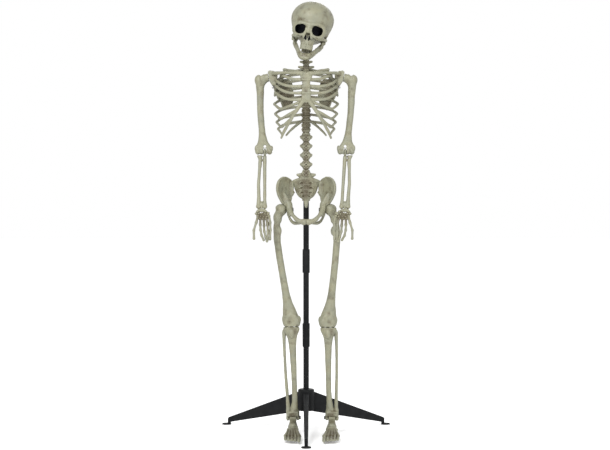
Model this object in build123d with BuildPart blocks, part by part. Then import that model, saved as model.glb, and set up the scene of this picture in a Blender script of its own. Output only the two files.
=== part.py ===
"""A life-size posable plastic skeleton on a three-legged plug-in stand.

Frame: millimetres, +Z up, the figure faces -Y, origin on the floor in the middle of the stand.
Left and right are the figure's own, so its right side is at -X.
"""

import os
from math import cos, radians, sin

from build123d import *

os.makedirs("parts", exist_ok=True)

# ---------------------------------------------------------------- driving dimensions
LEG_REACH = 338.0  # pole axis to the centre of each foot pad
POLE_Y = LEG_REACH / 4  # centres the three-legged footprint on the origin
POLE_R, POLE_WALL = 10.0, 1.5
JOINER_R, JOINER_LENGTH = 13.0, 84.0
LOWER_JOINER_Z, UPPER_JOINER_Z = 343.0, 606.0  # where the pole sections meet
POLE_FOOT_Z, POLE_TOP_Z = 96.0, 880.0
HUB_R, HUB_BOTTOM, HUB_TOP = 29.0, 76.0, 152.0
PAD_R, PAD_THICK = 17.5, 4.0
BODY_Y = 15.0  # the vertical plane of shoulders, elbows, hips, knees and ankles
SPINE_Y = 46.0  # axis of the rod that strings the lower back together
SLIP = 0.1  # radial gap of a plug-in fit
RUN = 0.05  # radial gap of a running fit
GAP = 0.5  # gap between bones that turn on each other

SIDES = {"right": -1, "left": 1}
SHOULDER_DROP = 12.8  # degrees that the shoulder bolt points down, going outwards
SHOULDER = {"right": (-131, BODY_Y, 1250), "left": (131, BODY_Y, 1250)}
ARM_TOP = {"right": (-162, BODY_Y, 1242), "left": (162, BODY_Y, 1242)}
ELBOW = {"right": (-148, BODY_Y, 991), "left": (140, BODY_Y, 991)}
WRIST = {"right": (-154, -50, 784), "left": (133, -50, 784)}
HIP = {"right": (-88, BODY_Y, 787), "left": (86, BODY_Y, 787)}
THIGH_TOP = {"right": (-104, BODY_Y, 745), "left": (106, BODY_Y, 745)}
KNEE = {"right": (-51, BODY_Y, 396), "left": (76, BODY_Y, 394)}
ANKLE = {"right": (-46, BODY_Y, 60), "left": (90, BODY_Y, 60)}
HEAD = (2, 32, 1345)  # centre of the neck ball
HEAD_LEAN, HEAD_TURN = 9.5, 4.0  # degrees that the head leans and turns to its left
JAW_OPEN = 12.0  # degrees that the jaw hangs open


def save(builder, name):
    """Labels a finished piece and writes its STEP file."""
    builder.part.label = name
    export_step(builder.part, f"parts/{name}.step")


def rod(start, end, radius, mode=Mode.ADD):
    """A straight round rod from one point to another."""
    run = Vector(*end) - Vector(*start)
    with BuildSketch(Plane(origin=start, z_dir=run)) as disc:
        Circle(radius)
    extrude(disc.sketch, amount=run.length, mode=mode)


def taper(start, end, start_radius, end_radius):
    """A straight cone from one point to another."""
    run = Vector(*end) - Vector(*start)
    plane = Plane(origin=start, z_dir=run)
    with BuildSketch(plane) as near:
        Circle(start_radius)
    with BuildSketch(plane.offset(run.length)) as far:
        Circle(end_radius)
    loft([near.sketch, far.sketch])


def ball(centre, radius, mode=Mode.ADD):
    """A sphere."""
    with Locations(tuple(centre)):
        Sphere(radius, mode=mode)


def block(centre, size, mode=Mode.ADD):
    """An upright box about its centre."""
    with Locations(tuple(centre)):
        Box(*size, mode=mode)


def arc_tube(start, middle, end, radius):
    """A round tube along the circular arc through three points."""
    path = ThreePointArc(start, middle, end, mode=Mode.PRIVATE)
    with BuildSketch(Plane(origin=path @ 0, z_dir=path % 0)) as disc:
        Circle(radius)
    sweep(disc.sketch, path=path)


def oval_loft(frame, sections, ruled=False, mode=Mode.ADD):
    """Lofts ovals, each (height, x, y, half width, half depth) in a frame, into a bone."""
    ovals = []
    for height, x, y, half_x, half_y in sections:
        with BuildSketch(frame.offset(height)) as oval:
            with Locations((x, y)):
                Ellipse(half_x, half_y)
        ovals.append(oval.sketch)
    loft(ovals, ruled=ruled, mode=mode)


def limb_loft(top, bottom, sections, ruled=False):
    """Lofts a limb between two joints: each section is (fraction down, x, y, half width, half depth)."""
    top, bottom = Vector(*top), Vector(*bottom)
    placed = []
    for fraction, x, y, half_x, half_y in sections:
        on_axis = top + (bottom - top) * fraction
        placed.append((on_axis.Z, on_axis.X + x, on_axis.Y + y, half_x, half_y))
    oval_loft(Plane.XY, placed, ruled=ruled)


def barrel(centre, radius, half_width, mode=Mode.ADD):
    """A round barrel lying along X about a hinge."""
    x, y, z = centre
    rod((x - half_width, y, z), (x + half_width, y, z), radius, mode=mode)


# ---------------------------------------------------------------- stand
LEG_ANGLES = {"front": -90, "left": 30, "right": 150}
POCKET_INNER, POCKET_OUTER = 14.0, 40.0
TONGUE_LOW, TONGUE_HIGH, TONGUE_WIDE = 84.0, 134.0, 10.0
HUB_SCREW_AT, HUB_SCREW_R = 22.0, 2.5


def leg_direction(angle):
    """Unit vector from the pole towards a foot pad."""
    return Vector(cos(radians(angle)), sin(radians(angle)), 0)


def make_hub():
    """The three-way hub, with a blind bore for the pole and a pocket for each leg."""
    with BuildPart() as hub:
        with BuildSketch(Plane.XY.offset(HUB_BOTTOM)):
            with Locations((0, POLE_Y)):
                Circle(HUB_R)
        extrude(amount=HUB_TOP - HUB_BOTTOM)
        fillet(hub.edges().group_by(Axis.Z)[-1], 6)
        for angle in LEG_ANGLES.values():
            middle = Vector(0, POLE_Y, (TONGUE_LOW + TONGUE_HIGH) / 2)
            middle += leg_direction(angle) * (POCKET_INNER + POCKET_OUTER) / 2
            with Locations(Location(tuple(middle), (0, 0, angle))):
                Box(POCKET_OUTER - POCKET_INNER, TONGUE_WIDE, TONGUE_HIGH - TONGUE_LOW, mode=Mode.SUBTRACT)
            foot = Vector(0, POLE_Y, HUB_BOTTOM) + leg_direction(angle) * HUB_SCREW_AT
            rod(foot, foot + Vector(0, 0, 20), HUB_SCREW_R + SLIP, mode=Mode.SUBTRACT)
        bore = Vector(0, POLE_Y, POLE_FOOT_Z)
        rod(bore, bore + Vector(0, 0, 80), POLE_R + SLIP, mode=Mode.SUBTRACT)
    save(hub, "stand_hub")


def make_leg(name, angle):
    """A tapering leg, open underneath, with a tongue that plugs into the hub."""
    out = leg_direction(angle)
    centre = Vector(0, POLE_Y, 0)
    along = Vector(-out.Y, out.X, 0)

    def section(reach, low, high, width, corner):
        origin = centre + out * reach + Vector(0, 0, (low + high) / 2)
        with BuildSketch(Plane(origin=origin, x_dir=along, z_dir=out)) as outline:
            RectangleRounded(width, high - low, corner)
        return outline.sketch

    with BuildPart() as leg:
        loft([section(24, 71, 143, 18.4, 3), section(326, 9, 28, 12.5, 3)])
        loft([section(36, 60, 138, 13, 2), section(312, 0, 25, 8, 2)], mode=Mode.SUBTRACT)
        hub_axis = Vector(0, POLE_Y, 40)
        rod(hub_axis, hub_axis + Vector(0, 0, 130), HUB_R + SLIP, mode=Mode.SUBTRACT)
        middle = centre + out * 28 + Vector(0, 0, (TONGUE_LOW + TONGUE_HIGH) / 2)
        with Locations(Location(tuple(middle), (0, 0, angle))):
            Box(24, TONGUE_WIDE - 2 * SLIP, TONGUE_HIGH - TONGUE_LOW - 2 * SLIP)
        lug = centre + out * (LEG_REACH - 12)
        rod(lug + Vector(0, 0, PAD_THICK + 1), lug + Vector(0, 0, 24), 6)
        stem = centre + out * (LEG_REACH - 12)
        rod(stem, stem + Vector(0, 0, 18), 3 + SLIP, mode=Mode.SUBTRACT)
        screw = centre + out * HUB_SCREW_AT + Vector(0, 0, 60)
        rod(screw, screw + Vector(0, 0, 46), HUB_SCREW_R + SLIP, mode=Mode.SUBTRACT)
    save(leg, f"stand_leg_{name}")


def make_pads():
    """Three round foot pads with stems that plug into the leg tips."""
    with BuildPart() as pads:
        for angle in LEG_ANGLES.values():
            foot = Vector(0, POLE_Y, 0) + leg_direction(angle) * LEG_REACH
            stem = Vector(0, POLE_Y, 0) + leg_direction(angle) * (LEG_REACH - 12)
            taper(foot, foot + Vector(0, 0, PAD_THICK), PAD_R, PAD_R - 2)
            rod(stem, stem + Vector(0, 0, 17), 3)
    save(pads, "stand_foot_pads")


def make_hub_screws():
    """Three pan-head screws that hold the leg tongues, put in from underneath."""
    with BuildPart() as screws:
        for angle in LEG_ANGLES.values():
            foot = Vector(0, POLE_Y, HUB_BOTTOM) + leg_direction(angle) * HUB_SCREW_AT
            rod(foot - Vector(0, 0, 3.5), foot - Vector(0, 0, 0.05), 5)
            rod(foot - Vector(0, 0, 1), foot + Vector(0, 0, 28), HUB_SCREW_R)
    save(screws, "stand_hub_screws")


def make_pole_section(name, low, high):
    """One length of steel tube."""
    with BuildPart() as tube:
        with BuildSketch(Plane.XY.offset(low)):
            with Locations((0, POLE_Y)):
                Circle(POLE_R)
                Circle(POLE_R - POLE_WALL, mode=Mode.SUBTRACT)
        extrude(amount=high - low)
    save(tube, name)


def make_joiner(name, middle):
    """A moulded sleeve over the butt joint of two pole sections."""
    with BuildPart() as joiner:
        with BuildSketch(Plane.XY.offset(middle - JOINER_LENGTH / 2)):
            with Locations((0, POLE_Y)):
                Circle(JOINER_R)
        extrude(amount=JOINER_LENGTH)
        chamfer(joiner.edges(), 1.6)
        start = Vector(0, POLE_Y, middle - JOINER_LENGTH)
        rod(start, start + Vector(0, 0, 2 * JOINER_LENGTH), POLE_R + SLIP, mode=Mode.SUBTRACT)
    save(joiner, name)


def make_pole_cap():
    """The plug that closes the top of the pole."""
    with BuildPart() as cap:
        top = Vector(0, POLE_Y, POLE_TOP_Z)
        rod(top - Vector(0, 0, 14), top - Vector(0, 0, 3), POLE_R - POLE_WALL - SLIP)
        rod(top - Vector(0, 0, 3), top, POLE_R)
    save(cap, "pole_cap")


make_hub()
for leg_name, leg_angle in LEG_ANGLES.items():
    make_leg(leg_name, leg_angle)
make_pads()
make_hub_screws()
make_pole_section("pole_lower", POLE_FOOT_Z, LOWER_JOINER_Z)
make_pole_section("pole_middle", LOWER_JOINER_Z, UPPER_JOINER_Z)
make_pole_section("pole_upper", UPPER_JOINER_Z, POLE_TOP_Z - 3)
make_joiner("pole_joiner_lower", LOWER_JOINER_Z)
make_joiner("pole_joiner_upper", UPPER_JOINER_Z)
make_pole_cap()

# ---------------------------------------------------------------- pelvis and lower back
HIP_FACE = 67.0  # where each hip socket's flat face stands, either side of the middle
HIP_BOLT_R = 5.0
SOCKET_DEPTH_Z = (820.0, POLE_TOP_Z)
SPINE_ROD_R = 4.0
SACRUM_TOP = 902.0
WAIST = 1058.0
WING_CREST = ((50, 103), (84, 82), (86, 52), (56, 27))  # points round the free edge of a hip wing
LUMBAR_STEPS = (930.0, 962.0, 995.0, 1027.0, WAIST)  # upper end of each vertebra, lowest first


def make_pelvis():
    """Both hip bones, joined in front: wings, hip sockets and the pelvic ring."""
    with BuildPart() as pelvis:
        arc_tube((-60, 8, 800), (0, -34, 745), (60, 8, 800), 8.5)
        block((0, -36, 745), (26, 14, 18))
        for side in SIDES.values():
            hip = Vector(side * HIP_FACE, BODY_Y, 787)
            rod(hip, hip - Vector(side * 17, 0, 0), 23)
            arc_tube((side * 61, 20, 775), (side * 48, 14, 740), (side * 18, -30, 743), 6)
            wing_plane = Plane(
                origin=(side * 53.5, 52, 800), x_dir=(side * 54, -74, 0), z_dir=(-side * 74, -54, 0)
            )
            flip = 1 if wing_plane.y_dir.Z > 0 else -1
            with BuildSketch(wing_plane):
                with BuildLine():
                    low = Line((10, flip * 25), (0, flip * 42))
                    edge = Line(low @ 1, (0, flip * 86))
                    crest = Spline(
                        edge @ 1,
                        *((u, flip * v) for u, v in WING_CREST),
                        tangents=[(0.9, flip * 0.5), (-1, -flip * 0.5)],
                    )
                    Line(crest @ 1, low @ 0)
                make_face()
            extrude(amount=4, both=True)
            rod((side * 58, 18, 800), (side * 68, 26, 842), 11)
            block((side * 55, 50, 862), (10, 24, 50))
        for side in SIDES.values():
            rod((side * HIP_FACE, BODY_Y, 787), (side * 90, BODY_Y, 787), 23, mode=Mode.SUBTRACT)
            rod((side * 40, BODY_Y, 787), (side * 80, BODY_Y, 787), HIP_BOLT_R + RUN, mode=Mode.SUBTRACT)
    save(pelvis, "pelvis")


def make_sacrum():
    """The wedge between the hip bones, with its pegs and the tail bone."""
    with BuildPart() as sacrum:
        oval_loft(
            Plane.XY,
            [
                (795, 0, 50, 4, 4),
                (818, 0, 56, 9, 6),
                (832, 0, 56, 25, 9),
                (860, 0, 52, 33, 12),
                (886, 0, 47, 46, 13),
                (SACRUM_TOP, 0, SPINE_Y, 21, 15),
            ],
            ruled=True,
        )
        for height in (876, 850):
            rod((-50, 51, height), (50, 51, height), 5)
        rod((0, SPINE_Y, SACRUM_TOP - 25), (0, SPINE_Y, SACRUM_TOP + 5), SPINE_ROD_R + SLIP, mode=Mode.SUBTRACT)
    save(sacrum, "sacrum")


def make_stand_socket():
    """The blind socket behind the sacrum that drops over the top of the pole."""
    low, high = SOCKET_DEPTH_Z
    with BuildPart() as socket:
        rod((0, POLE_Y, low), (0, POLE_Y, high + 6), 14)
        block((0, 70.5, 856), (24, 9, 44))
        block((0, 66.5, 856), (36, 3, 44))
        rod((0, POLE_Y, low - 5), (0, POLE_Y, high), POLE_R + SLIP, mode=Mode.SUBTRACT)
    save(socket, "stand_socket")


def make_lumbar(number, low, high):
    """One bead of the lower back: waisted ends, a wide middle, and wings at the sides and back."""
    middle = (low + high) / 2
    lowest = number == 1
    with BuildPart() as vertebra:
        if lowest:
            bead = [(low, 21, 16), (low + 6, 21, 16), (high - 4, 13, 12), (high, 11, 11)]
        else:
            bead = [(low, 11, 11), (low + 4, 12, 12), (middle, 22, 17), (high - 4, 12, 12), (high, 11, 11)]
        oval_loft(Plane.XY, [(z, 0, SPINE_Y, wide, deep) for z, wide, deep in bead], ruled=True)
        if lowest:
            rod((-32, SPINE_Y, low + 7), (32, SPINE_Y, low + 7), 4.5)
        taper((0, SPINE_Y + 8, middle), (0, SPINE_Y + 32, middle - 6), 7, 4)
        rod((0, SPINE_Y, low - 1), (0, SPINE_Y, high + 1), SPINE_ROD_R + SLIP, mode=Mode.SUBTRACT)
    save(vertebra, f"lumbar_vertebra_{number}")


def make_spine_rod():
    """The steel rod through the lower back, from the sacrum into the ribcage."""
    with BuildPart() as spine_rod:
        rod((0, SPINE_Y, SACRUM_TOP - 25), (0, SPINE_Y, WAIST + 30), SPINE_ROD_R)
    save(spine_rod, "spine_rod")


make_pelvis()
make_sacrum()
make_stand_socket()
vertebra_ends = (SACRUM_TOP, *LUMBAR_STEPS)
for vertebra_number in range(1, 6):
    make_lumbar(vertebra_number, vertebra_ends[vertebra_number - 1], vertebra_ends[vertebra_number])
make_spine_rod()

# ---------------------------------------------------------------- ribcage and neck
RIB_R = 4.5
PART_LINE = BODY_Y  # the plane where the front and back mouldings of the chest meet
STERNUM_Y, STERNUM_HALF = -75.0, 16.0
STERNUM_TOP, STERNUM_BOTTOM = 1259.0, 1158.0
BACK_RIB_Y = 60.0
BLADE = ((-28, 56), (-27, 20), (-6, -56), (4, -56), (24, 10), (40, 40), (38, 56))  # outline of a shoulder blade
# Each rib of the upper set: how far out it reaches, its height at the side, its height at the front.
UPPER_RIBS = ((90, 1246, 1237), (103, 1236, 1215), (104, 1212, 1191), (110, 1187, 1169))
# Each rib of the lower set: how far out it reaches, its height at the side, its place along the margin.
LOWER_RIBS = ((112, 1157, 0.02), (109, 1123, 0.27), (104, 1094, 0.5), (99, 1070, 0.74))
MARGIN_START, MARGIN_MIDDLE, MARGIN_END = (10, -75, 1160), (52, -68, 1098), (86, -34, 1036)
NECK_BASE, BALL_R = 1278.0, 11.0
SHOULDER_BOLT_R, SHOULDER_HEAD_R = 4.0, 7.0


def on_margin(side, fraction):
    """A point along the slanting lower edge of the front ribs."""
    start, middle, end = (Vector(side * x, y, z) for x, y, z in (MARGIN_START, MARGIN_MIDDLE, MARGIN_END))
    return ThreePointArc(start, middle, end, mode=Mode.PRIVATE) @ fraction


def bolt_axis(side):
    """Unit vector outwards along a shoulder bolt."""
    return Vector(side * cos(radians(SHOULDER_DROP)), 0, -sin(radians(SHOULDER_DROP)))


def shoulder_plate(side):
    """The three-cornered plate that carries a shoulder bolt, before it is halved at the part line."""
    with BuildSketch(Plane.XZ.offset(-BODY_Y)) as plate:
        with BuildLine():
            Polyline(
                (side * 134.7, 1268),
                (side * 126.3, 1231),
                (side * 113, 1206),
                (side * 109.5, 1216),
                (side * 109.5, 1264),
                (side * 128, 1273),
                close=True,
            )
        make_face()
    extrude(plate.sketch, amount=19, both=True)


def shoulder_cavity(side):
    """The bolt's running hole and the pocket that holds its head."""
    face = Vector(*SHOULDER["left" if side > 0 else "right"])
    axis = bolt_axis(side)
    rod(face - axis * 13, face + axis * 5, SHOULDER_BOLT_R + RUN, mode=Mode.SUBTRACT)
    rod(face - axis * 13, face - axis * 8, SHOULDER_HEAD_R + RUN, mode=Mode.SUBTRACT)


SCREW_PLACES = ((121, 1262), (117, 1217))  # the chest screws: x either side, height
SCREW_R = 1.5


def screw_holes(side):
    """Pilot holes and head recesses for the screws that join the two chest mouldings."""
    for x, height in SCREW_PLACES:
        rod((side * x, 0, height), (side * x, 60, height), SCREW_R + SLIP, mode=Mode.SUBTRACT)
        rod((side * x, PART_LINE + 17, height), (side * x, 60, height), 4.2, mode=Mode.SUBTRACT)


def make_ribcage_front():
    """Breast bone, collar bones, front ribs and the front of the shoulder plates, in one moulding."""
    with BuildPart() as front:
        with BuildSketch(Plane.XZ.offset(-STERNUM_Y - 5)) as plate:
            with BuildLine():
                Polyline(
                    (-STERNUM_HALF, STERNUM_BOTTOM + 4),
                    (-STERNUM_HALF, STERNUM_TOP - 8),
                    (-24, STERNUM_TOP),
                    (24, STERNUM_TOP),
                    (STERNUM_HALF, STERNUM_TOP - 8),
                    (STERNUM_HALF, STERNUM_BOTTOM + 4),
                    (6, STERNUM_BOTTOM - 6),
                    (0, STERNUM_BOTTOM + 3),
                    (-6, STERNUM_BOTTOM - 6),
                    close=True,
                )
            make_face()
        extrude(plate.sketch, amount=10)
        for side in SIDES.values():
            shoulder_plate(side)
            arc_tube((side * 18, STERNUM_Y, 1254), (side * 80, -46, 1260), (side * 118, 4, 1262), 5.5)
            for x, side_z, front_z in UPPER_RIBS:
                middle = (side * x * 0.72, -52, (side_z * 0.35 + front_z * 0.65) - 2)
                arc_tube((side * x, PART_LINE + 2, side_z), middle, (side * 12, STERNUM_Y, front_z), RIB_R)
            arc_tube(*((side * x, y, z) for x, y, z in (MARGIN_START, MARGIN_MIDDLE, MARGIN_END)), RIB_R)
            ball((side * MARGIN_END[0], MARGIN_END[1], MARGIN_END[2]), RIB_R + 1)
            for x, side_z, place in LOWER_RIBS:
                end = on_margin(side, place)
                middle = (side * (x * 0.6 + abs(end.X) * 0.4), -40, side_z * 0.6 + end.Z * 0.4 - 15)
                arc_tube((side * x, PART_LINE + 2, side_z), middle, end, RIB_R)
        block((0, PART_LINE + 60, 1200), (400, 120, 500), mode=Mode.SUBTRACT)
        for side in SIDES.values():
            shoulder_cavity(side)
            screw_holes(side)
    save(front, "ribcage_front")


def make_ribcage_back():
    """Chest part of the spine, back ribs, shoulder blades and the back of the shoulder plates."""
    with BuildPart() as back:
        oval_loft(
            Plane.XY,
            [
                (WAIST, 0, SPINE_Y, 12, 12),
                (1066, 0, SPINE_Y + 2, 17, 15),
                (1150, 0, 58, 17, 14),
                (1230, 0, 60, 15, 13),
                (NECK_BASE - 10, 0, 46, 13, 12),
                (NECK_BASE, 0, 40, 11, 11),
            ],
        )
        arc_tube((-78, 46, 1281), (0, 54, 1276), (78, 46, 1281), 4.5)
        for side in SIDES.values():
            shoulder_plate(side)
            for x, side_z, _ in (*UPPER_RIBS, *LOWER_RIBS):
                middle = (side * x * 0.72, 62, side_z + 14)
                root = (side * 10, BACK_RIB_Y, side_z + 32)
                arc_tube((side * x, PART_LINE - 2, side_z), middle, root, RIB_R)
            arc_tube((side * 10, 58, 1104), (side * 45, 64, 1078), (side * 70, 44, 1050), 4)
            ball((side * 70, 44, 1050), 5)
            blade_plane = Plane(origin=(side * 77, 68, 1200), x_dir=(side * 50, -25, 0), z_dir=(side * 25, 50, 0))
            flip = 1 if blade_plane.y_dir.Z > 0 else -1
            with BuildSketch(blade_plane):
                with BuildLine():
                    Polyline(*((u, flip * v) for u, v in BLADE), close=True)
                make_face()
            extrude(amount=2.5, both=True)
            rod((side * 108, 50, 1246), (side * 116, 22, 1246), 9)
            rod((side * 60, 74, 1256), (side * 60, 50, 1278), 4)
        block((0, PART_LINE - 60, 1200), (400, 120, 500), mode=Mode.SUBTRACT)
        for side in SIDES.values():
            shoulder_cavity(side)
            screw_holes(side)
        rod((0, SPINE_Y, WAIST - 1), (0, SPINE_Y, WAIST + 31), SPINE_ROD_R + SLIP, mode=Mode.SUBTRACT)
    save(back, "ribcage_back")


make_ribcage_front()
make_ribcage_back()


def make_torso_screws():
    """Four screws that hold the two chest mouldings together, put in from behind."""
    with BuildPart() as screws:
        for side in SIDES.values():
            for x, height in SCREW_PLACES:
                rod((side * x, PART_LINE + 17, height), (side * x, PART_LINE + 19, height), 4)
                rod((side * x, 2, height), (side * x, PART_LINE + 17, height), SCREW_R)
    save(screws, "torso_screws")


def make_cervical(number, low, high, reach):
    """One bead of the neck with thin wings at the sides."""
    lean = 39 - 3 * number
    with BuildPart() as vertebra:
        rod((0, lean, low), (0, lean, high), 9.5)
        oval_loft(
            Plane.XY,
            [(low + 4, 0, lean, 12, 10), (low + 8, 0, lean, reach, 13), (low + 12, 0, lean, 12, 10)],
            ruled=True,
        )
    save(vertebra, f"cervical_vertebra_{number}")


def make_neck_post():
    """The stem of the neck and the ball that the head sits on."""
    x, y, z = HEAD
    with BuildPart() as post:
        rod((0, 33, NECK_BASE + 36), (0, 33, NECK_BASE + 40), 9.5)
        taper((0, 33, NECK_BASE + 39), (x, y, z - 8), 6, 5)
        ball(HEAD, BALL_R)
    save(post, "neck_post")


make_torso_screws()
make_cervical(1, NECK_BASE, NECK_BASE + 20, 26)
make_cervical(2, NECK_BASE + 20, NECK_BASE + 36, 20)
make_neck_post()

# ---------------------------------------------------------------- head
# The head is built upright about the neck ball and then leaned and turned into place.
LINER = 2.0  # thickness of each turning shell between the ball and its socket
LINER_1_R = BALL_R + RUN + LINER
LINER_2_R = LINER_1_R + RUN + LINER
SOCKET_R = LINER_2_R + RUN
NECK_CONE = 28.0  # half angle of the open cone under the ball
CRANIUM = (0, 28, 98)  # centre of the brain case
CRANIUM_R, CRANIUM_LONG = 75.0, 91.0
SHELL = 3.0
EYELET_Y, EYELET_Z = 34.0, 184.0
EYELET_HOLE_R, EYELET_STEM_R = 4.0, 2.0
JAW_PIVOT = (0, 10, 38)
RAMUS_IN, RAMUS_OUT = 51.0, 57.0  # how far out each branch of the jaw stands at its hinge
JAW_PIN_R = 2.5
EYE_X, EYE_Z, EYE_R = 30.0, 72.0, 17.5
HEAD_PLACE = Location(HEAD, (0, HEAD_LEAN, -HEAD_TURN))
JAW_SWING = Location(JAW_PIVOT) * Location((0, 0, 0), (JAW_OPEN, 0, 0)) * Location(JAW_PIVOT).inverse()
JAW_PLACE = HEAD_PLACE * JAW_SWING


def save_placed(builder, name, place):
    """Moves a piece that was built upright into the pose the figure is left in, and writes it."""
    moved = builder.part.moved(place)
    moved.label = name
    export_step(moved, f"parts/{name}.step")


def egg(centre, across_r, long_r, mode=Mode.ADD):
    """A solid of an ellipse turned about an axis along Y."""
    x, y, z = centre
    with BuildSketch(Plane(origin=centre, x_dir=(1, 0, 0), z_dir=(0, 0, 1))) as half:
        Ellipse(across_r, long_r)
        with Locations((-across_r, 0)):
            Rectangle(2 * across_r, 2 * long_r, mode=Mode.SUBTRACT)
    revolve(half.sketch, axis=Axis((x, y, z), (0, 1, 0)), mode=mode)


def make_liner(name, inner, outer):
    """A turning shell between the neck ball and its socket, open underneath for the stem."""
    with BuildPart() as liner:
        ball((0, 0, 0), outer)
        ball((0, 0, 0), inner, mode=Mode.SUBTRACT)
        block((0, 0, -outer), (2 * outer, 2 * outer, 1.2 * outer), mode=Mode.SUBTRACT)
    save_placed(liner, name, Location(HEAD))


def make_neck_socket():
    """The cup under the skull that grips the ball and its shells."""
    with BuildPart() as socket:
        rod((0, 0, -6), (0, 0, 22), SOCKET_R + 4)
        rod((0, 0, 20), (0, 0, 30), 10)
        ball((0, 0, 0), SOCKET_R, mode=Mode.SUBTRACT)
        block((0, 0, -20), (60, 60, 28), mode=Mode.SUBTRACT)
    save_placed(socket, "neck_socket", HEAD_PLACE)


def brain_case():
    """The hollow egg of the skull."""
    egg(CRANIUM, CRANIUM_R, CRANIUM_LONG)
    egg(CRANIUM, CRANIUM_R - SHELL, CRANIUM_LONG - SHELL, mode=Mode.SUBTRACT)


def make_cranium():
    """The back half of the skull, with the hole for the hanging eyelet."""
    _, seam, _ = CRANIUM
    with BuildPart() as cranium:
        brain_case()
        block((0, seam - 100, 98), (200, 200, 300), mode=Mode.SUBTRACT)
        rod((0, EYELET_Y, 150), (0, EYELET_Y, 190), EYELET_STEM_R + SLIP, mode=Mode.SUBTRACT)
    save_placed(cranium, "skull_cranium", HEAD_PLACE)


def make_face():
    """The front half of the skull: forehead, eye and nose openings, cheeks, upper jaw and hinge lugs."""
    _, seam, _ = CRANIUM
    _, jaw_y, jaw_z = JAW_PIVOT
    with BuildPart() as face:
        egg(CRANIUM, CRANIUM_R, CRANIUM_LONG)
        oval_loft(
            Plane.XY,
            [
                (1, 0, -44, 21, 14),
                (20, 0, -42, 25, 16),
                (44, 0, -38, 30, 17),
                (62, 0, -30, 46, 26),
                (90, 0, -20, 50, 34),
            ],
            ruled=True,
        )
        for side in SIDES.values():
            taper((side * 30, -44, 46), (side * 60, -8, 50), 9, 6)
            block((side * 61, 2, 50), (6, 32, 12))
            block((side * 61, jaw_y, jaw_z + 4), (6, 16, 20))
            block((side * 56, jaw_y, jaw_z + 15), (16, 16, 10))
        rod((0, 0, 24), (0, 0, 40), 16)
        block((0, seam + 100, 98), (200, 200, 300), mode=Mode.SUBTRACT)
        egg(CRANIUM, CRANIUM_R - SHELL, CRANIUM_LONG - SHELL, mode=Mode.SUBTRACT)
        rod((0, 0, 10), (0, 0, 60), 10 + SLIP, mode=Mode.SUBTRACT)
        rod((0, -90, 44), (0, -42, 44), 11, mode=Mode.SUBTRACT)
        for side in SIDES.values():
            rod((side * EYE_X, -90, EYE_Z), (side * (EYE_X - 8), -30, EYE_Z), EYE_R, mode=Mode.SUBTRACT)
            pin = Vector(0, jaw_y, jaw_z)
            inner, outer = pin + Vector(side * 40, 0, 0), pin + Vector(side * 66, 0, 0)
            rod(inner, outer, JAW_PIN_R + SLIP, mode=Mode.SUBTRACT)
    save_placed(face, "skull_face", HEAD_PLACE)


def make_jaw():
    """The lower jaw, built closed: a bow for the chin, a row of teeth, two branches up to the hinge."""
    _, y, z = JAW_PIVOT
    with BuildPart() as jaw:
        arc_tube((51, 8, -4), (0, -52, -18), (-51, 8, -4), 8)
        arc_tube((30, -26, -8), (0, -48, -8), (-30, -26, -8), 5)
        for side in SIDES.values():
            oval_loft(
                Plane.XY,
                [(-6, side * 50, 8, 7, 12), (20, side * 53, 10, 3.5, 11), (z, side * 54, y, 2.5, 6)],
                ruled=True,
            )
            rod((side * RAMUS_IN, y, z), (side * RAMUS_OUT, y, z), 6)
        rod((-70, y, z), (70, y, z), JAW_PIN_R + RUN, mode=Mode.SUBTRACT)
    save_placed(jaw, "jaw", JAW_PLACE)


def make_jaw_pins():
    """The two short pins that the jaw swings on."""
    _, y, z = JAW_PIVOT
    with BuildPart() as pins:
        for side in SIDES.values():
            rod((side * 44, y, z), (side * 64, y, z), JAW_PIN_R)
            rod((side * 64, y, z), (side * 65.5, y, z), JAW_PIN_R + 2)
    save_placed(pins, "jaw_pins", HEAD_PLACE)


def make_eyelet():
    """The flat steel eye that a hanging line goes through."""
    with BuildPart() as eyelet:
        rod((0, EYELET_Y - 1.5, EYELET_Z), (0, EYELET_Y + 1.5, EYELET_Z), EYELET_HOLE_R + 3)
        rod((0, EYELET_Y, 158), (0, EYELET_Y, EYELET_Z - EYELET_HOLE_R - 1.2), EYELET_STEM_R)
        rod((0, EYELET_Y - 5, EYELET_Z), (0, EYELET_Y + 5, EYELET_Z), EYELET_HOLE_R, mode=Mode.SUBTRACT)
    save_placed(eyelet, "hanging_eyelet", HEAD_PLACE)


make_liner("neck_liner_inner", BALL_R + RUN, LINER_1_R)
make_liner("neck_liner_outer", LINER_1_R + RUN, LINER_2_R)
make_neck_socket()
make_cranium()
make_face()
make_jaw()
make_jaw_pins()
make_eyelet()

# ---------------------------------------------------------------- legs
KNEE_TONGUE, KNEE_PIN_R = 6.0, 4.0  # half width of the shin's tongue
KNEE_TRAVEL_R = 20.0  # radius of the rounded knee end of the thigh bone
TALUS_HALF, ANKLE_BOLT_R = 12.0, 3.5
TOE_IN = {"right": 0.012, "left": 0.035}  # sideways drift per millimetre forward
FOOT_DROP = 0.03  # how much the foot falls per millimetre forward


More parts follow.
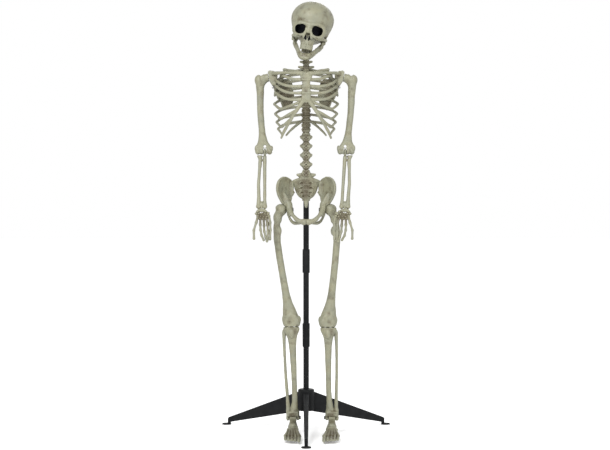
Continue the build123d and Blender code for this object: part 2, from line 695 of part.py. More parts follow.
def make_femur(name, side):
    """A thigh bone: hip ball with a flat inner face, shaft, and a knee end slotted for the shin's tongue."""
    hip, knee = Vector(*HIP[name]), Vector(*KNEE[name])
    with BuildPart() as femur:
        ball(hip, 21)
        block((side * (HIP_FACE + GAP - 20), BODY_Y, hip.Z), (40, 60, 60), mode=Mode.SUBTRACT)
        taper(hip + Vector(side * 4, 0, -2), (side * 102, BODY_Y, 752), 14, 13)
        ball((side * 102, BODY_Y, 752), 13.6)
        limb_loft(
            THIGH_TOP[name],
            KNEE[name],
            [
                (0, 0, 0, 12, 13),
                (0.2, side * 8.5, -2, 13, 13),
                (0.4, side * 7.5, -4, 13, 13),
                (0.6, side * 6, -4, 12.5, 13),
                (0.8, side * 3.5, -2, 15, 14),
                (0.96, 0, 0, 29, 17),
            ],
        )
        barrel(knee, KNEE_TRAVEL_R, 32)
        block(knee + Vector(0, 0, -5), (2 * KNEE_TONGUE + 2 * GAP, 60, 42), mode=Mode.SUBTRACT)
        rod((side * 60, hip.Y, hip.Z), (side * 120, hip.Y, hip.Z), HIP_BOLT_R + SLIP, mode=Mode.SUBTRACT)
        rod((side * 102, hip.Y, hip.Z), (side * 120, hip.Y, hip.Z), 9, mode=Mode.SUBTRACT)
        barrel(knee, KNEE_PIN_R + SLIP, 40, mode=Mode.SUBTRACT)
    save(femur, f"femur_{name}")


def make_hip_bolt(name, side):
    """The bolt through hip ball and socket, with its head outside and nut inside the pelvis."""
    _, y, z = HIP[name]
    with BuildPart() as bolt:
        rod((side * 44, y, z), (side * 103, y, z), HIP_BOLT_R)
        rod((side * 102, y, z), (side * 106, y, z), 8)
        rod((side * 44.5, y, z), (side * 49.5, y, z), 7.5)
    save(bolt, f"hip_bolt_{name}")


def make_shin(name, side):
    """Tibia and fibula in one moulding, with a knee tongue above and an ankle fork below."""
    knee, ankle = Vector(*KNEE[name]), Vector(*ANKLE[name])
    with BuildPart() as shin:
        limb_loft(
            KNEE[name],
            ANKLE[name],
            [
                (0.069, side * 1, 0, 30, 17),
                (0.12, side * 1, 0, 23, 15),
                (0.24, -side * 2, -1, 13.5, 12),
                (0.47, -side * 5, -1, 10, 10),
                (0.7, -side * 7, 0, 9, 9),
                (0.92, -side * 5, 0, 13, 12),
            ],
        )
        limb_loft(
            KNEE[name],
            ANKLE[name],
            [
                (0.1, side * 26, 3, 7, 7),
                (0.25, side * 27, 4, 5.5, 5.5),
                (0.6, side * 22, 4, 5, 5),
                (0.93, side * 14, 0, 7, 8),
            ],
        )
        oval_loft(
            Plane.XY,
            [(ankle.Z + 12, ankle.X, ankle.Y, 23, 12), (ankle.Z + 30, ankle.X, ankle.Y, 21, 12)],
            ruled=True,
        )
        barrel(ankle, 11, 23)
        block(ankle + Vector(0, 0, 7), (46, 18, 14))
        block(ankle + Vector(0, 0, -5), (2 * TALUS_HALF + 2 * GAP, 60, 38), mode=Mode.SUBTRACT)
        barrel(knee, 11, KNEE_TONGUE)
        block(knee + Vector(0, 0, -14), (2 * KNEE_TONGUE, 16, 28))
        barrel(knee, KNEE_PIN_R + RUN, 40, mode=Mode.SUBTRACT)
        barrel(ankle, ANKLE_BOLT_R + RUN, 40, mode=Mode.SUBTRACT)
    save(shin, f"shin_{name}")


def make_foot(name, side):
    """A foot: ankle bone, heel, instep and five toes."""
    ankle = Vector(*ANKLE[name])
    drift = -TOE_IN[name]

    def place(x, forward, z):
        return ankle + Vector(x + drift * forward, -forward, z - FOOT_DROP * forward)

    with BuildPart() as foot:
        ovals = []
        for forward, z, half_x, half_z in (
            (-40, -38, 9, 9),
            (-30, -35, 15, 16),
            (-8, -30, 15, 20),
            (25, -30, 17, 17),
            (70, -33, 24, 13),
            (125, -39, 29, 5.2),
        ):
            across = Plane(origin=place(0, forward, z), x_dir=(1, 0, 0), z_dir=(0, -1, 0))
            with BuildSketch(across) as oval:
                Ellipse(half_x, half_z)
            ovals.append(oval.sketch)
        loft(ovals)
        barrel(ankle, 11.5, TALUS_HALF)
        block(ankle + Vector(0, 0, -14), (2 * TALUS_HALF, 19, 28))
        for toe in range(5):
            root = -side * (23.5 - 12 * toe)
            tip = -side * (24 - 11.7 * toe)
            radius, reach = (6.5, 206) if toe == 0 else (4.8, 204 - 6 * toe)
            taper(place(root, 112, -38), place(tip, reach, -42), radius + 1, radius)
            taper(place(tip, reach - 2, -42), place(tip, reach + 3.5, -42), radius * 0.8, radius * 0.45)
        barrel(ankle, ANKLE_BOLT_R + SLIP, 40, mode=Mode.SUBTRACT)
    save(foot, f"foot_{name}")


def make_ankle_bolt(name, side):
    """The ankle bolt, with its knob on the inner side."""
    x, y, z = ANKLE[name]
    with BuildPart() as bolt:
        rod((x - side * 26, y, z), (x + side * 24, y, z), ANKLE_BOLT_R)
        rod((x - side * 27.5, y, z), (x - side * 23.5, y, z), 6)
    save(bolt, f"ankle_bolt_{name}")


def make_knee_pin(name):
    """The plain pin through the knee."""
    with BuildPart() as pin:
        barrel(KNEE[name], KNEE_PIN_R, 31)
    save(pin, f"knee_pin_{name}")


for limb, outward in SIDES.items():
    make_femur(limb, outward)
    make_hip_bolt(limb, outward)
    make_shin(limb, outward)
    make_knee_pin(limb)
    make_foot(limb, outward)
    make_ankle_bolt(limb, outward)

# ---------------------------------------------------------------- arms
ELBOW_TONGUE, ELBOW_PIN_R = 4.5, 3.0  # half width of the forearm's tongue
ELBOW_SHIFT = 3.5  # how far inward of the elbow's middle the tongue stands
STEM_R, STEM_BARREL_R, STEM_BARREL_HALF = 4.0, 5.5, 5.0
WRIST_PIN_R = 2.5
SPREAD = {"right": 1.0, "left": 1.2}  # how wide the inner fingers stand
# Each finger's joints from the palm to the tip: outward of the wrist, in front of it, below it.
FINGERS = {
    "thumb": ((12, 2, 18), (18, 8, 42), (26, 15, 68), (25, 24, 98)),
    "index": ((4, 0, 24), (4, 6, 50), (3, 14, 67), (-1, 22, 86), (-9, 34, 102)),
    "middle": ((-7, 0, 26), (-9, 6, 53), (-10, 15, 72), (-15, 25, 92), (-20, 36, 106)),
    "ring": ((-16, 0, 22), (-21, 6, 51), (-22, 16, 72), (-22, 28, 101)),
    "little": ((-25, 0, 18), (-30, 6, 42), (-31, 14, 67), (-30, 26, 100)),
}
FINGER_R = 4.2


def make_humerus(name, side):
    """An upper arm: flat shoulder face, shaft, and a broad elbow end with a slot and a round window."""
    shoulder, elbow = Vector(*SHOULDER[name]), Vector(*ELBOW[name])
    axis = bolt_axis(side)
    tongue_x = elbow.X - side * ELBOW_SHIFT
    with BuildPart() as humerus:
        rod(shoulder + axis * GAP, shoulder + axis * 30, 15)
        ball(ARM_TOP[name], 18.5)
        limb_loft(
            ARM_TOP[name],
            ELBOW[name],
            [
                (0, 0, 0, 15, 15),
                (0.2, side * 1, 0, 13, 12),
                (0.48, side * 4, 0, 11.5, 11),
                (0.76, side * 2, 0, 12, 10),
                (0.99, side * 0.5, 0, 29, 9.3),
            ],
        )
        barrel(elbow, 11, 31)
        slot = Vector(tongue_x, elbow.Y, elbow.Z - 3)
        block(slot, (2 * ELBOW_TONGUE + 2 * GAP, 60, 29), mode=Mode.SUBTRACT)
        window = Vector(tongue_x, elbow.Y, elbow.Z + 18)
        rod(window - Vector(0, 30, 0), window + Vector(0, 30, 0), 4.5, mode=Mode.SUBTRACT)
        rod(shoulder, shoulder + axis * 26, SHOULDER_BOLT_R + SLIP, mode=Mode.SUBTRACT)
        barrel(elbow, ELBOW_PIN_R + SLIP, 40, mode=Mode.SUBTRACT)
    save(humerus, f"humerus_{name}")


def make_shoulder_bolt(name, side):
    """The bolt whose head is trapped in the shoulder plate and whose shank is fixed in the arm."""
    face, axis = Vector(*SHOULDER[name]), bolt_axis(side)
    with BuildPart() as bolt:
        rod(face - axis * 12.8, face + axis * 25, SHOULDER_BOLT_R)
        rod(face - axis * 12.8, face - axis * 8.2, SHOULDER_HEAD_R)
    save(bolt, f"shoulder_bolt_{name}")


def make_elbow_pin(name):
    """The plain pin through the elbow."""
    with BuildPart() as pin:
        barrel(ELBOW[name], ELBOW_PIN_R, 30)
    save(pin, f"elbow_pin_{name}")


def make_forearm(name, side):
    """Ulna and radius in one moulding, with an elbow tongue above and a bored bridge at the wrist."""
    elbow, wrist = Vector(*ELBOW[name]), Vector(*WRIST[name])
    along = (wrist - elbow).normalized()
    bridge = wrist - along * 22
    with BuildPart() as forearm:
        limb_loft(
            ELBOW[name],
            WRIST[name],
            [
                (0.075, -side * 3.5, 0, 6, 7.5),
                (0.25, -side * 4.5, 0, 6, 6.5),
                (0.6, -side * 8, 0, 6, 6),
                (0.85, -side * 10, 0, 6, 6),
                (0.95, -side * 11, 0, 7.5, 7),
            ],
        )
        limb_loft(
            ELBOW[name],
            WRIST[name],
            [
                (0.09, side * 13, 0, 10, 8.5),
                (0.13, side * 12, 0, 6, 6),
                (0.3, side * 12, 0, 5.5, 5.5),
                (0.75, side * 11, 0, 6, 6),
                (0.95, side * 10.5, 0, 8, 7.5),
            ],
        )
        rod(bridge - along * 6, bridge + along * 6, 8)
        block(elbow + Vector(side * 4, -9, -30), (16, 8, 8))
        tongue = Vector(elbow.X - side * ELBOW_SHIFT, elbow.Y, elbow.Z)
        barrel(tongue, 10, ELBOW_TONGUE)
        block(tongue + Vector(0, -2, -12), (2 * ELBOW_TONGUE, 12, 20))
        rod(bridge - along * 14, bridge + along * 14, STEM_R + RUN, mode=Mode.SUBTRACT)
        rod(bridge - along * 14, bridge - along * 6, 8.6, mode=Mode.SUBTRACT)
        barrel(elbow, ELBOW_PIN_R + RUN, 40, mode=Mode.SUBTRACT)
    save(forearm, f"forearm_{name}")


def make_wrist_stem(name):
    """The turning stem of the wrist: a shoulder above the forearm's bridge and a cross barrel below."""
    elbow, wrist = Vector(*ELBOW[name]), Vector(*WRIST[name])
    along = (wrist - elbow).normalized()
    with BuildPart() as stem:
        rod(wrist - along * 32, wrist, STEM_R)
        rod(wrist - along * 32, wrist - along * 28.3, 6.5)
        barrel(wrist, STEM_BARREL_R, STEM_BARREL_HALF)
        barrel(wrist, WRIST_PIN_R + RUN, 20, mode=Mode.SUBTRACT)
    save(stem, f"wrist_stem_{name}")


def make_hand(name, side):
    """A hand: two ears and a pin at the wrist, the carpal block, and five jointed fingers."""
    wrist = Vector(*WRIST[name])

    def place(outward, forward, down):
        spread = SPREAD[name] if outward < 0 else 1
        return wrist + Vector(side * outward * spread, -forward, -down)

    with BuildPart() as hand:
        for ear in (-1, 1):
            rod(wrist + Vector(ear * (STEM_BARREL_HALF + GAP), 0, 0), wrist + Vector(ear * 12, 0, 0), 6)
            block(wrist + Vector(ear * 8.75, 0, -6), (6.5, 10, 12))
        barrel(wrist, WRIST_PIN_R, 8)
        middle = place(-4, 0, 0)
        oval_loft(
            Plane.XY,
            [
                (wrist.Z - 8, middle.X, wrist.Y, 19, 8),
                (wrist.Z - 16, middle.X, wrist.Y, 24, 9),
                (wrist.Z - 29, middle.X, wrist.Y - 1, 22, 7),
            ],
            ruled=True,
        )
        for joints in FINGERS.values():
            points = [place(*joint) for joint in joints]
            for near, far in zip(points, points[1:]):
                taper(near, far, FINGER_R - 0.4, FINGER_R - 1)
                ball(far, FINGER_R - 0.2)
    save(hand, f"hand_{name}")


for limb, outward in SIDES.items():
    make_humerus(limb, outward)
    make_shoulder_bolt(limb, outward)
    make_elbow_pin(limb)
    make_forearm(limb, outward)
    make_wrist_stem(limb)
    make_hand(limb, outward)
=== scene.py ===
"""A hanging plastic skeleton on a three-legged stand, modelled bone by bone around its CAD frame."""

import math

import bpy
import numpy as np
import openvdb
from mathutils import Euler, Matrix, Vector


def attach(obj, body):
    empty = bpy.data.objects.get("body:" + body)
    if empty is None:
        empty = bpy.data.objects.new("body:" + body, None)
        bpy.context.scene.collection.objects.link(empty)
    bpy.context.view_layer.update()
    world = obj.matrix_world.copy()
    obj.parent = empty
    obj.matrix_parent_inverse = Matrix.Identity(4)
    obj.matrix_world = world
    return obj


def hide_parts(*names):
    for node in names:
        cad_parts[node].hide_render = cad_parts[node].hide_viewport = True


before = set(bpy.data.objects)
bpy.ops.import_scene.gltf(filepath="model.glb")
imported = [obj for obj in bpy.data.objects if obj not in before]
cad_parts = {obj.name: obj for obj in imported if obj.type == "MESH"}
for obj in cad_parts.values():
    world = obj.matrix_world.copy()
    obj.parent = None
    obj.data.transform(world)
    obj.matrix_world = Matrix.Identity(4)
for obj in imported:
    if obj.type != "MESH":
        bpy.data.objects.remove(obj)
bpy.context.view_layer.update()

MM = 0.001  # shapes are in millimetres, the scene is in metres
FAR = 1000.0  # the field's value where nothing is near
CREASE_REACH, HOLLOW_REACH = 3.0, 9.0  # how wide the dips are that count as creases and as hollows
LUMP_PITCH, DENT_PITCH, DENT_SHARE, DENT_SEED = 14.0, 4.5, 0.3, 50  # the unevenness of the bones
DARK_FILL_EDGE = 1.3  # how far the black reaches past the shape that it fills
X, Y, Z = (1, 0, 0), (0, 1, 0), (0, 0, 1)
SIDES = {"right": -1, "left": 1}
# Joint centres on each side, in millimetres in the frame.
SHOULDER = {"right": (-131, 15, 1250), "left": (131, 15, 1250)}
ARM_TOP = {"right": (-162, 15, 1242), "left": (162, 15, 1242)}
ELBOW = {"right": (-148, 15, 991), "left": (140, 15, 991)}
WRIST = {"right": (-154, -50, 784), "left": (133, -50, 784)}
HIP = {"right": (-88, 15, 787), "left": (86, 15, 787)}
THIGH_TOP = {"right": (-104, 15, 745), "left": (106, 15, 745)}
KNEE = {"right": (-51, 15, 396), "left": (76, 15, 394)}
ANKLE = {"right": (-46, 15, 60), "left": (90, 15, 60)}
SHOULDER_DROP = math.radians(12.8)
HEAD = (2, 32, 1345)
HEAD_LEAN, HEAD_TURN = 9.5, -4.0  # degrees


# ---------------------------------------------------------------- shapes
# A shape is a list of (low corner, high corner, distance function), in millimetres.
def unit(vector):
    vector = np.array(vector, float)
    return vector / np.linalg.norm(vector)


def turn_rows(turn):
    return [list(row) for row in Euler([math.radians(a) for a in turn or (0, 0, 0)]).to_matrix().transposed()]


def turned(x, y, z, centre, rows):
    px, py, pz = x - centre[0], y - centre[1], z - centre[2]
    return [px * r[0] + py * r[1] + pz * r[2] for r in rows]


def segment(a, b, radius_a, radius_b, thin=None, factor=1.0):
    """One round rod; thin flattens it along that direction by factor."""
    low = np.minimum(a, b) - max(radius_a, radius_b)
    high = np.maximum(a, b) + max(radius_a, radius_b)
    a, run = [float(v) for v in a], [float(q - p) for p, q in zip(a, b)]
    length_2 = max(sum(v * v for v in run), 1e-6)

    def distance(x, y, z):
        px, py, pz = x - a[0], y - a[1], z - a[2]
        t = np.clip((px * run[0] + py * run[1] + pz * run[2]) / length_2, 0, 1)
        px, py, pz = px - t * run[0], py - t * run[1], pz - t * run[2]
        squares = px * px + py * py + pz * pz
        if thin is not None:
            across = px * thin[0] + py * thin[1] + pz * thin[2]
            squares = squares + across * across * (factor * factor - 1)
        return np.sqrt(squares) - radius_a - t * (radius_b - radius_a)

    return low, high, distance


def limb(points, radii, thin=None, factor=1.0):
    """A chain of rods; thin="strap" flattens each link sideways, or thin is a direction."""
    if np.isscalar(radii):
        radii = [radii] * len(points)
    links = []
    for a, b, ra, rb in zip(points, points[1:], radii, radii[1:]):
        flat = thin
        if thin == "strap":
            flat = unit(np.cross(np.subtract(b, a), Z))
        if flat is not None:
            flat = [float(v) for v in unit(flat)]
        links.append(segment(a, b, float(ra), float(rb), flat, factor))
    return links


def egg(centre, sizes, turn=None):
    """An ellipsoid with three half sizes."""
    rows, reach = turn_rows(turn), max(sizes)

    def distance(x, y, z):
        u, v, w = turned(x, y, z, centre, rows)
        near = np.sqrt((u / sizes[0]) ** 2 + (v / sizes[1]) ** 2 + (w / sizes[2]) ** 2)
        far = np.sqrt((u / sizes[0] ** 2) ** 2 + (v / sizes[1] ** 2) ** 2 + (w / sizes[2] ** 2) ** 2)
        return near * (near - 1) / np.maximum(far, 1e-6)

    return [(np.array(centre) - reach, np.array(centre) + reach, distance)]


def brick(centre, halves, corner, turn=None):
    """A box with rounded corners."""
    rows, reach = turn_rows(turn), math.hypot(*halves)

    def distance(x, y, z):
        over = [np.abs(p) - h + corner for p, h in zip(turned(x, y, z, centre, rows), halves)]
        outside = np.sqrt(sum(np.maximum(p, 0) ** 2 for p in over))
        return outside + np.minimum(np.maximum(over[0], np.maximum(over[1], over[2])), 0) - corner

    return [(np.array(centre) - reach, np.array(centre) + reach, distance)]


LEVELS, SMOOTHED = 240, 25  # a stack's levels, and how many of them are averaged


def stack(sections, corner=2.0):
    """A column of ovals: (height, x, y, half x, half y), smoothed from one to the next."""
    table = np.array(sorted(sections), float)
    heights = np.linspace(table[0, 0], table[-1, 0], LEVELS)
    window = np.hanning(SMOOTHED) / np.hanning(SMOOTHED).sum()
    columns = []
    for values in table.T[1:]:
        fine = np.interp(heights, table[:, 0], values)
        fine = np.pad(fine, SMOOTHED // 2, mode="reflect", reflect_type="odd")
        columns.append(np.convolve(fine, window, mode="valid"))
    reach_x, reach_y = table[:, 3].max(), table[:, 4].max()
    low = np.array([(table[:, 1] - reach_x).min(), (table[:, 2] - reach_y).min(), table[0, 0]])
    high = np.array([(table[:, 1] + reach_x).max(), (table[:, 2] + reach_y).max(), table[-1, 0]])

    def distance(x, y, z):
        cx, cy, hx, hy = (np.interp(z, heights, column).astype(np.float32) for column in columns)
        near = np.sqrt(((x - cx) / hx) ** 2 + ((y - cy) / hy) ** 2)
        far = np.sqrt(((x - cx) / hx**2) ** 2 + ((y - cy) / hy**2) ** 2)
        side = near * (near - 1) / np.maximum(far, 1e-6)
        return rounded(side, np.maximum(table[0, 0] - z, z - table[-1, 0]), corner)

    return [(low, high, distance)]


def lofted(side, top, bottom, sections, corner=2.0):
    """A stack between two points, of rows (share of the way down, outward, back, half x, half y)."""
    top, bottom = np.array(top, float), np.array(bottom, float)
    rows = []
    for share, outward, back, half_x, half_y in sections:
        centre = top + (bottom - top) * share
        rows.append((centre[2], centre[0] + side * outward, centre[1] + back, half_x, half_y))
    return stack(rows, corner)


def rounded(side, end, corner):
    """The distance to a form bounded by two distances, its edge rounded off."""
    side, end = side + corner, end + corner
    outside = np.sqrt(np.maximum(side, 0) ** 2 + np.maximum(end, 0) ** 2)
    return outside + np.minimum(np.maximum(side, end), 0) - corner


def polygon_distance(u, v, corners):
    nearest, sign = None, 1.0
    for (ax, ay), (bx, by) in zip(corners, corners[1:] + corners[:1]):
        ex, ey, wx, wy = bx - ax, by - ay, u - ax, v - ay
        t = np.clip((wx * ex + wy * ey) / (ex * ex + ey * ey), 0, 1)
        squares = (wx - ex * t) ** 2 + (wy - ey * t) ** 2
        nearest = squares if nearest is None else np.minimum(nearest, squares)
        above, below, left = v >= ay, v < by, ex * wy > ey * wx
        sign = np.where((above & below & left) | (~above & ~below & ~left), -sign, sign)
    return sign * np.sqrt(nearest)


def disc(centre, direction, radius, half, corner=1.0):
    """A round slab with softened edges."""
    direction = [float(v) for v in unit(direction)]
    reach = math.hypot(radius, half)

    def distance(x, y, z):
        px, py, pz = x - centre[0], y - centre[1], z - centre[2]
        along = px * direction[0] + py * direction[1] + pz * direction[2]
        around = np.sqrt(np.maximum(px * px + py * py + pz * pz - along * along, 0))
        return rounded(around - radius, np.abs(along) - half, corner)

    return [(np.array(centre, float) - reach, np.array(centre, float) + reach, distance)]


def plate(origin, u_dir, v_dir, outline, half, bulge=0.0, middle=(0, 0), rim=0.0, corner=None):
    """A curved sheet cut to an outline; bulge curves it and rim thickens its edge."""
    u_dir, v_dir = unit(u_dir), unit(v_dir)
    n_dir = np.cross(u_dir, v_dir)
    corners = [(float(u), float(v)) for u, v in outline]
    places = [np.array(origin) + u * u_dir + v * v_dir for u, v in corners]
    slack, corner = half + 12, half if corner is None else corner
    rows = [[float(c) for c in d] for d in (u_dir, v_dir, n_dir)]

    def distance(x, y, z):
        u, v, w = turned(x, y, z, origin, rows)
        edge = polygon_distance(u, v, corners)
        w = w - bulge * ((u - middle[0]) ** 2 + (v - middle[1]) ** 2)
        thick = half + rim * np.exp(-((edge / 6.0) ** 2))
        return rounded(edge, np.abs(w) - thick, corner)

    return [(np.min(places, 0) - slack, np.max(places, 0) + slack, distance)]


def sided(side, *points):
    """The given points, their x turned to that side."""
    return [(side * x, y, z) for x, y, z in points]


def flow(points, count=14):
    """Points along a smooth curve through the given ones."""
    points = np.array(points, float)
    ends = np.vstack([2 * points[0] - points[1], points, 2 * points[-1] - points[-2]])
    found = []
    for t in np.linspace(0, len(points) - 1, count):
        i = min(int(t), len(points) - 2)
        a, b, c, d = ends[i : i + 4]
        f = t - i
        square, cube = 2 * a - 5 * b + 4 * c - d, 3 * b - a - 3 * c + d
        found.append(0.5 * (2 * b + (c - a) * f + square * f**2 + cube * f**3))
    return found


def arc(a, b, c, count=9):
    """Points along the circle through three points."""
    a, b, c = (np.array(p, float) for p in (a, b, c))
    ab, ac = b - a, c - a
    normal = np.cross(ab, ac)
    centre = a + (np.cross(normal, ab) * (ac @ ac) + np.cross(ac, normal) * (ab @ ab)) / (2 * normal @ normal)
    start, upright = a - centre, unit(normal)
    side = np.cross(upright, start)
    sweep = math.atan2((c - centre) @ side, (c - centre) @ start) % (2 * math.pi)
    return [centre + start * math.cos(t) + side * math.sin(t) for t in np.linspace(0, sweep, count)]


# ---------------------------------------------------------------- clay
def spread(x, y, z):
    """Three axes as arrays that broadcast to a block."""
    return x[:, None, None], y[None, :, None], z[None, None, :]


class Clay:
    """A block of space, from corner low to corner high, that bones are modelled in and then cast as meshes.

    Bones are built in order: put adds a shape and cut takes one away, each blending into what is there
    over the given distance. lumps is how far the surface wanders, and seed settles where.
    """

    def __init__(self, low, high, voxel, seed=1, lumps=0.35):
        self.voxel = voxel
        self.low = np.floor(np.array(low, float) / voxel) * voxel
        first, last = np.floor(np.array(low, float) / voxel), np.ceil(np.array(high, float) / voxel)
        self.counts = (last - first).astype(int) + 1
        self.seed, self.lumps = seed, lumps
        steps = [voxel * np.arange(n) for n in self.counts]
        self.axes = [(start + step).astype(np.float32) for start, step in zip(self.low, steps)]
        self.field = np.full(self.counts, FAR, np.float32)

    def window(self, low, high, margin):
        """The part of the block within margin of a box, as slices."""
        first = np.floor((low - margin - self.low) / self.voxel).astype(int)
        last = np.ceil((high + margin - self.low) / self.voxel).astype(int) + 1
        first, last = (np.clip(v, 0, self.counts) for v in (first, last))
        return [slice(int(a), int(b)) for a, b in zip(first, last)]

    def measure(self, shape, margin):
        """The distance to a shape, in the window round it."""
        whole = self.window(np.min([s[0] for s in shape], 0), np.max([s[1] for s in shape], 0), margin)
        found = np.full([s.stop - s.start for s in whole], FAR, np.float32)
        for low, high, distance in shape:
            part = self.window(low, high, margin)
            if min(s.stop - s.start for s in part) <= 0:
                continue
            x, y, z = (axis[s] for axis, s in zip(self.axes, part))
            inner = tuple(slice(p.start - w.start, p.stop - w.start) for p, w in zip(part, whole))
            found[inner] = np.minimum(found[inner], distance(*spread(x, y, z)))
        return tuple(whole), found

    def put(self, shape, blend=2.0):
        whole, found = self.measure(shape, blend + 3 * self.voxel)
        self.field[whole] = soft_min(self.field[whole], found, blend)

    def cut(self, shape, blend=1.0):
        whole, found = self.measure(shape, blend + 3 * self.voxel)
        self.field[whole] = -soft_min(-self.field[whole], found, blend)

    def mirror(self):
        self.field = np.minimum(self.field, self.field[::-1])

    def cast(self, name, body, nodes, place=None, keep=None, dark_fill=(), stains_and_shade=()):
        """Meshes the clay, with creases, hollows and the black fill as attributes, and gives it to its body."""
        field = self.field
        if keep is not None:
            field = np.maximum(field, keep(*spread(*self.axes)).astype(np.float32))
        if self.lumps:
            field = field + self.lumps * ripple(self.counts, self.voxel, LUMP_PITCH, self.seed)
            dents = ripple(self.counts, self.voxel, DENT_PITCH, self.seed + DENT_SEED)
            field = field + DENT_SHARE * self.lumps * dents
        band = 6 * self.voxel
        grid = openvdb.FloatGrid(background=band)
        grid.copyFromArray(np.clip(field, -band, band).astype(np.float32))
        points, quads = grid.convertToQuads(isovalue=0.0)
        points = points.astype(float)
        crease = sample(smeared(self.field, CREASE_REACH, self.voxel), points)
        hollow = sample(smeared(self.field, HOLLOW_REACH, self.voxel), points)
        points = self.low + points * self.voxel
        dark_fill_share = np.zeros(len(points))
        for shape in dark_fill:
            for _, _, distance in shape:
                dark_fill_share = np.maximum(dark_fill_share, np.clip(DARK_FILL_EDGE - distance(*points.T), 0, 1))
        # each spot darkens the surface like a crease: stains, and painted shade where shade falls
        for centre, radius, strength in stains_and_shade:
            crease = crease + strength * np.exp(-((points - centre) ** 2).sum(1) / radius**2)
        world = points if place is None else points @ np.array(place.to_3x3()).T + np.array(place.translation)
        mesh = bpy.data.meshes.new(name)
        mesh.from_pydata((world * MM).tolist(), [], quads.tolist())
        mesh.polygons.foreach_set("use_smooth", [True] * len(mesh.polygons))
        for label, values in (("crease", crease), ("hollow", hollow), ("dark_fill", dark_fill_share)):
            mesh.attributes.new(label, "FLOAT", "POINT").data.foreach_set("value", values.astype(np.float32))
        piece = bpy.data.objects.new(name, mesh)
        bpy.context.scene.collection.objects.link(piece)
        piece.data.materials.append(BONE)
        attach(piece, body)
        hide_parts(*nodes)
        return piece


def soft_min(a, b, blend):
    share = np.maximum(blend - np.abs(a - b), 0) / blend
    return np.minimum(a, b) - share * share * (blend / 4)


def blurred(field, reach, axis):
    size = 2 * reach + 1
    pad = [(0, 0)] * 3
    pad[axis] = (reach + 1, reach)
    total = np.cumsum(np.pad(field, pad, mode="edge"), axis=axis, dtype=np.float32)
    high, low = [slice(None)] * 3, [slice(None)] * 3
    high[axis], low[axis] = slice(size, None), slice(None, -size)
    return (total[tuple(high)] - total[tuple(low)]) / size


def smeared(field, reach, voxel):
    """How deep each place lies in a dip about reach wide: 0 on flat ground, up to 1."""
    soft = np.clip(field, -reach, reach)
    steps = max(1, round(reach / voxel / 2))
    for _ in range(2):
        for axis in range(3):
            soft = blurred(soft, steps, axis)
    return -soft / reach


def sample(values, points):
    base = np.clip(np.floor(points).astype(int), 0, np.array(values.shape) - 2)
    share = points - base
    total = 0.0
    for corner in np.ndindex(2, 2, 2):
        weight = np.prod(np.where(corner, share, 1 - share), axis=1)
        total = total + weight * values[tuple((base + corner).T)]
    return total


def ripple(counts, voxel, pitch, seed):
    """Smooth random unevenness with the given pitch."""
    rng = np.random.default_rng(seed)
    coarse_counts = [int(n * voxel / pitch) + 3 for n in counts]
    values = rng.uniform(-1, 1, coarse_counts).astype(np.float32)
    for axis, (n, m) in enumerate(zip(counts, coarse_counts)):
        at = np.arange(n) * voxel / pitch
        base = np.minimum(at.astype(int), m - 2)
        share = (at - base).astype(np.float32)
        share = share * share * (3 - 2 * share)
        shape = [1, 1, 1]
        shape[axis] = n
        share = share.reshape(shape)
        values = np.take(values, base, axis) * (1 - share) + np.take(values, base + 1, axis) * share
    return values


# ---------------------------------------------------------------- materials
def new_material(name):
    material = bpy.data.materials.new(name)
    material.use_nodes = True
    tree = material.node_tree
    tree.nodes.clear()
    output = tree.nodes.new("ShaderNodeOutputMaterial")
    shader = tree.nodes.new("ShaderNodeBsdfPrincipled")
    tree.links.new(shader.outputs[0], output.inputs["Surface"])
    return material, tree, shader


def noise(tree, scale, detail=4.0, roughness=0.55, stretch=None):
    place = tree.nodes.new("ShaderNodeTexCoord").outputs["Object"]
    if stretch:
        mapping = tree.nodes.new("ShaderNodeMapping")
        mapping.inputs["Scale"].default_value = stretch
        tree.links.new(place, mapping.inputs["Vector"])
        place = mapping.outputs[0]
    texture = tree.nodes.new("ShaderNodeTexNoise")
    texture.inputs["Scale"].default_value = scale
    texture.inputs["Detail"].default_value = detail
    texture.inputs["Roughness"].default_value = roughness
    tree.links.new(place, texture.inputs["Vector"])
    return texture.outputs["Fac"]


def remap(tree, value, low, high, to_low=0.0, to_high=1.0):
    node = tree.nodes.new("ShaderNodeMapRange")
    for label, number in (("From Min", low), ("From Max", high), ("To Min", to_low), ("To Max", to_high)):
        node.inputs[label].default_value = number
    tree.links.new(value, node.inputs["Value"])
    return node.outputs["Result"]


def arithmetic(tree, kind, a, b):
    node = tree.nodes.new("ShaderNodeMath")
    node.operation = kind
    for socket, value in zip(node.inputs, (a, b)):
        if isinstance(value, (int, float)):
            socket.default_value = value
        else:
            tree.links.new(value, socket)
    return node.outputs[0]


def mixed(tree, share, a, b):
    """a where share is 0, b where it is 1; a and b are colours or sockets."""
    node = tree.nodes.new("ShaderNodeMix")
    node.data_type = "RGBA"
    tree.links.new(share, node.inputs[0])
    for socket, value in ((node.inputs[6], a), (node.inputs[7], b)):
        if isinstance(value, tuple):
            socket.default_value = (*value, 1)
        else:
            tree.links.new(value, socket)
    return node.outputs[2]


def bumped(tree, shader, height, strength, distance):
    bump = tree.nodes.new("ShaderNodeBump")
    bump.inputs["Strength"].default_value = strength
    bump.inputs["Distance"].default_value = distance
    tree.links.new(height, bump.inputs["Height"])
    tree.links.new(bump.outputs[0], shader.inputs["Normal"])


def attribute(tree, name):
    node = tree.nodes.new("ShaderNodeAttribute")
    node.attribute_name = name
    return node.outputs["Fac"]


BONE_LIGHT = (0.188, 0.184, 0.122)
BONE_WARM = (0.158, 0.143, 0.087)
BONE_GREY = (0.162, 0.164, 0.118)
# brown for the wash and for the painted shade in creases and hollows; the dark flecks use it too
WASH_AND_SHADE = (0.056, 0.042, 0.019)
SOCKET_BLACK = (0.004, 0.004, 0.005)
CREASE_WASH_AND_SHADE, HOLLOW_SHADE = 0.95, 0.75  # how much brown wash and painted shade darken the creases, and how much painted shade darkens the hollows
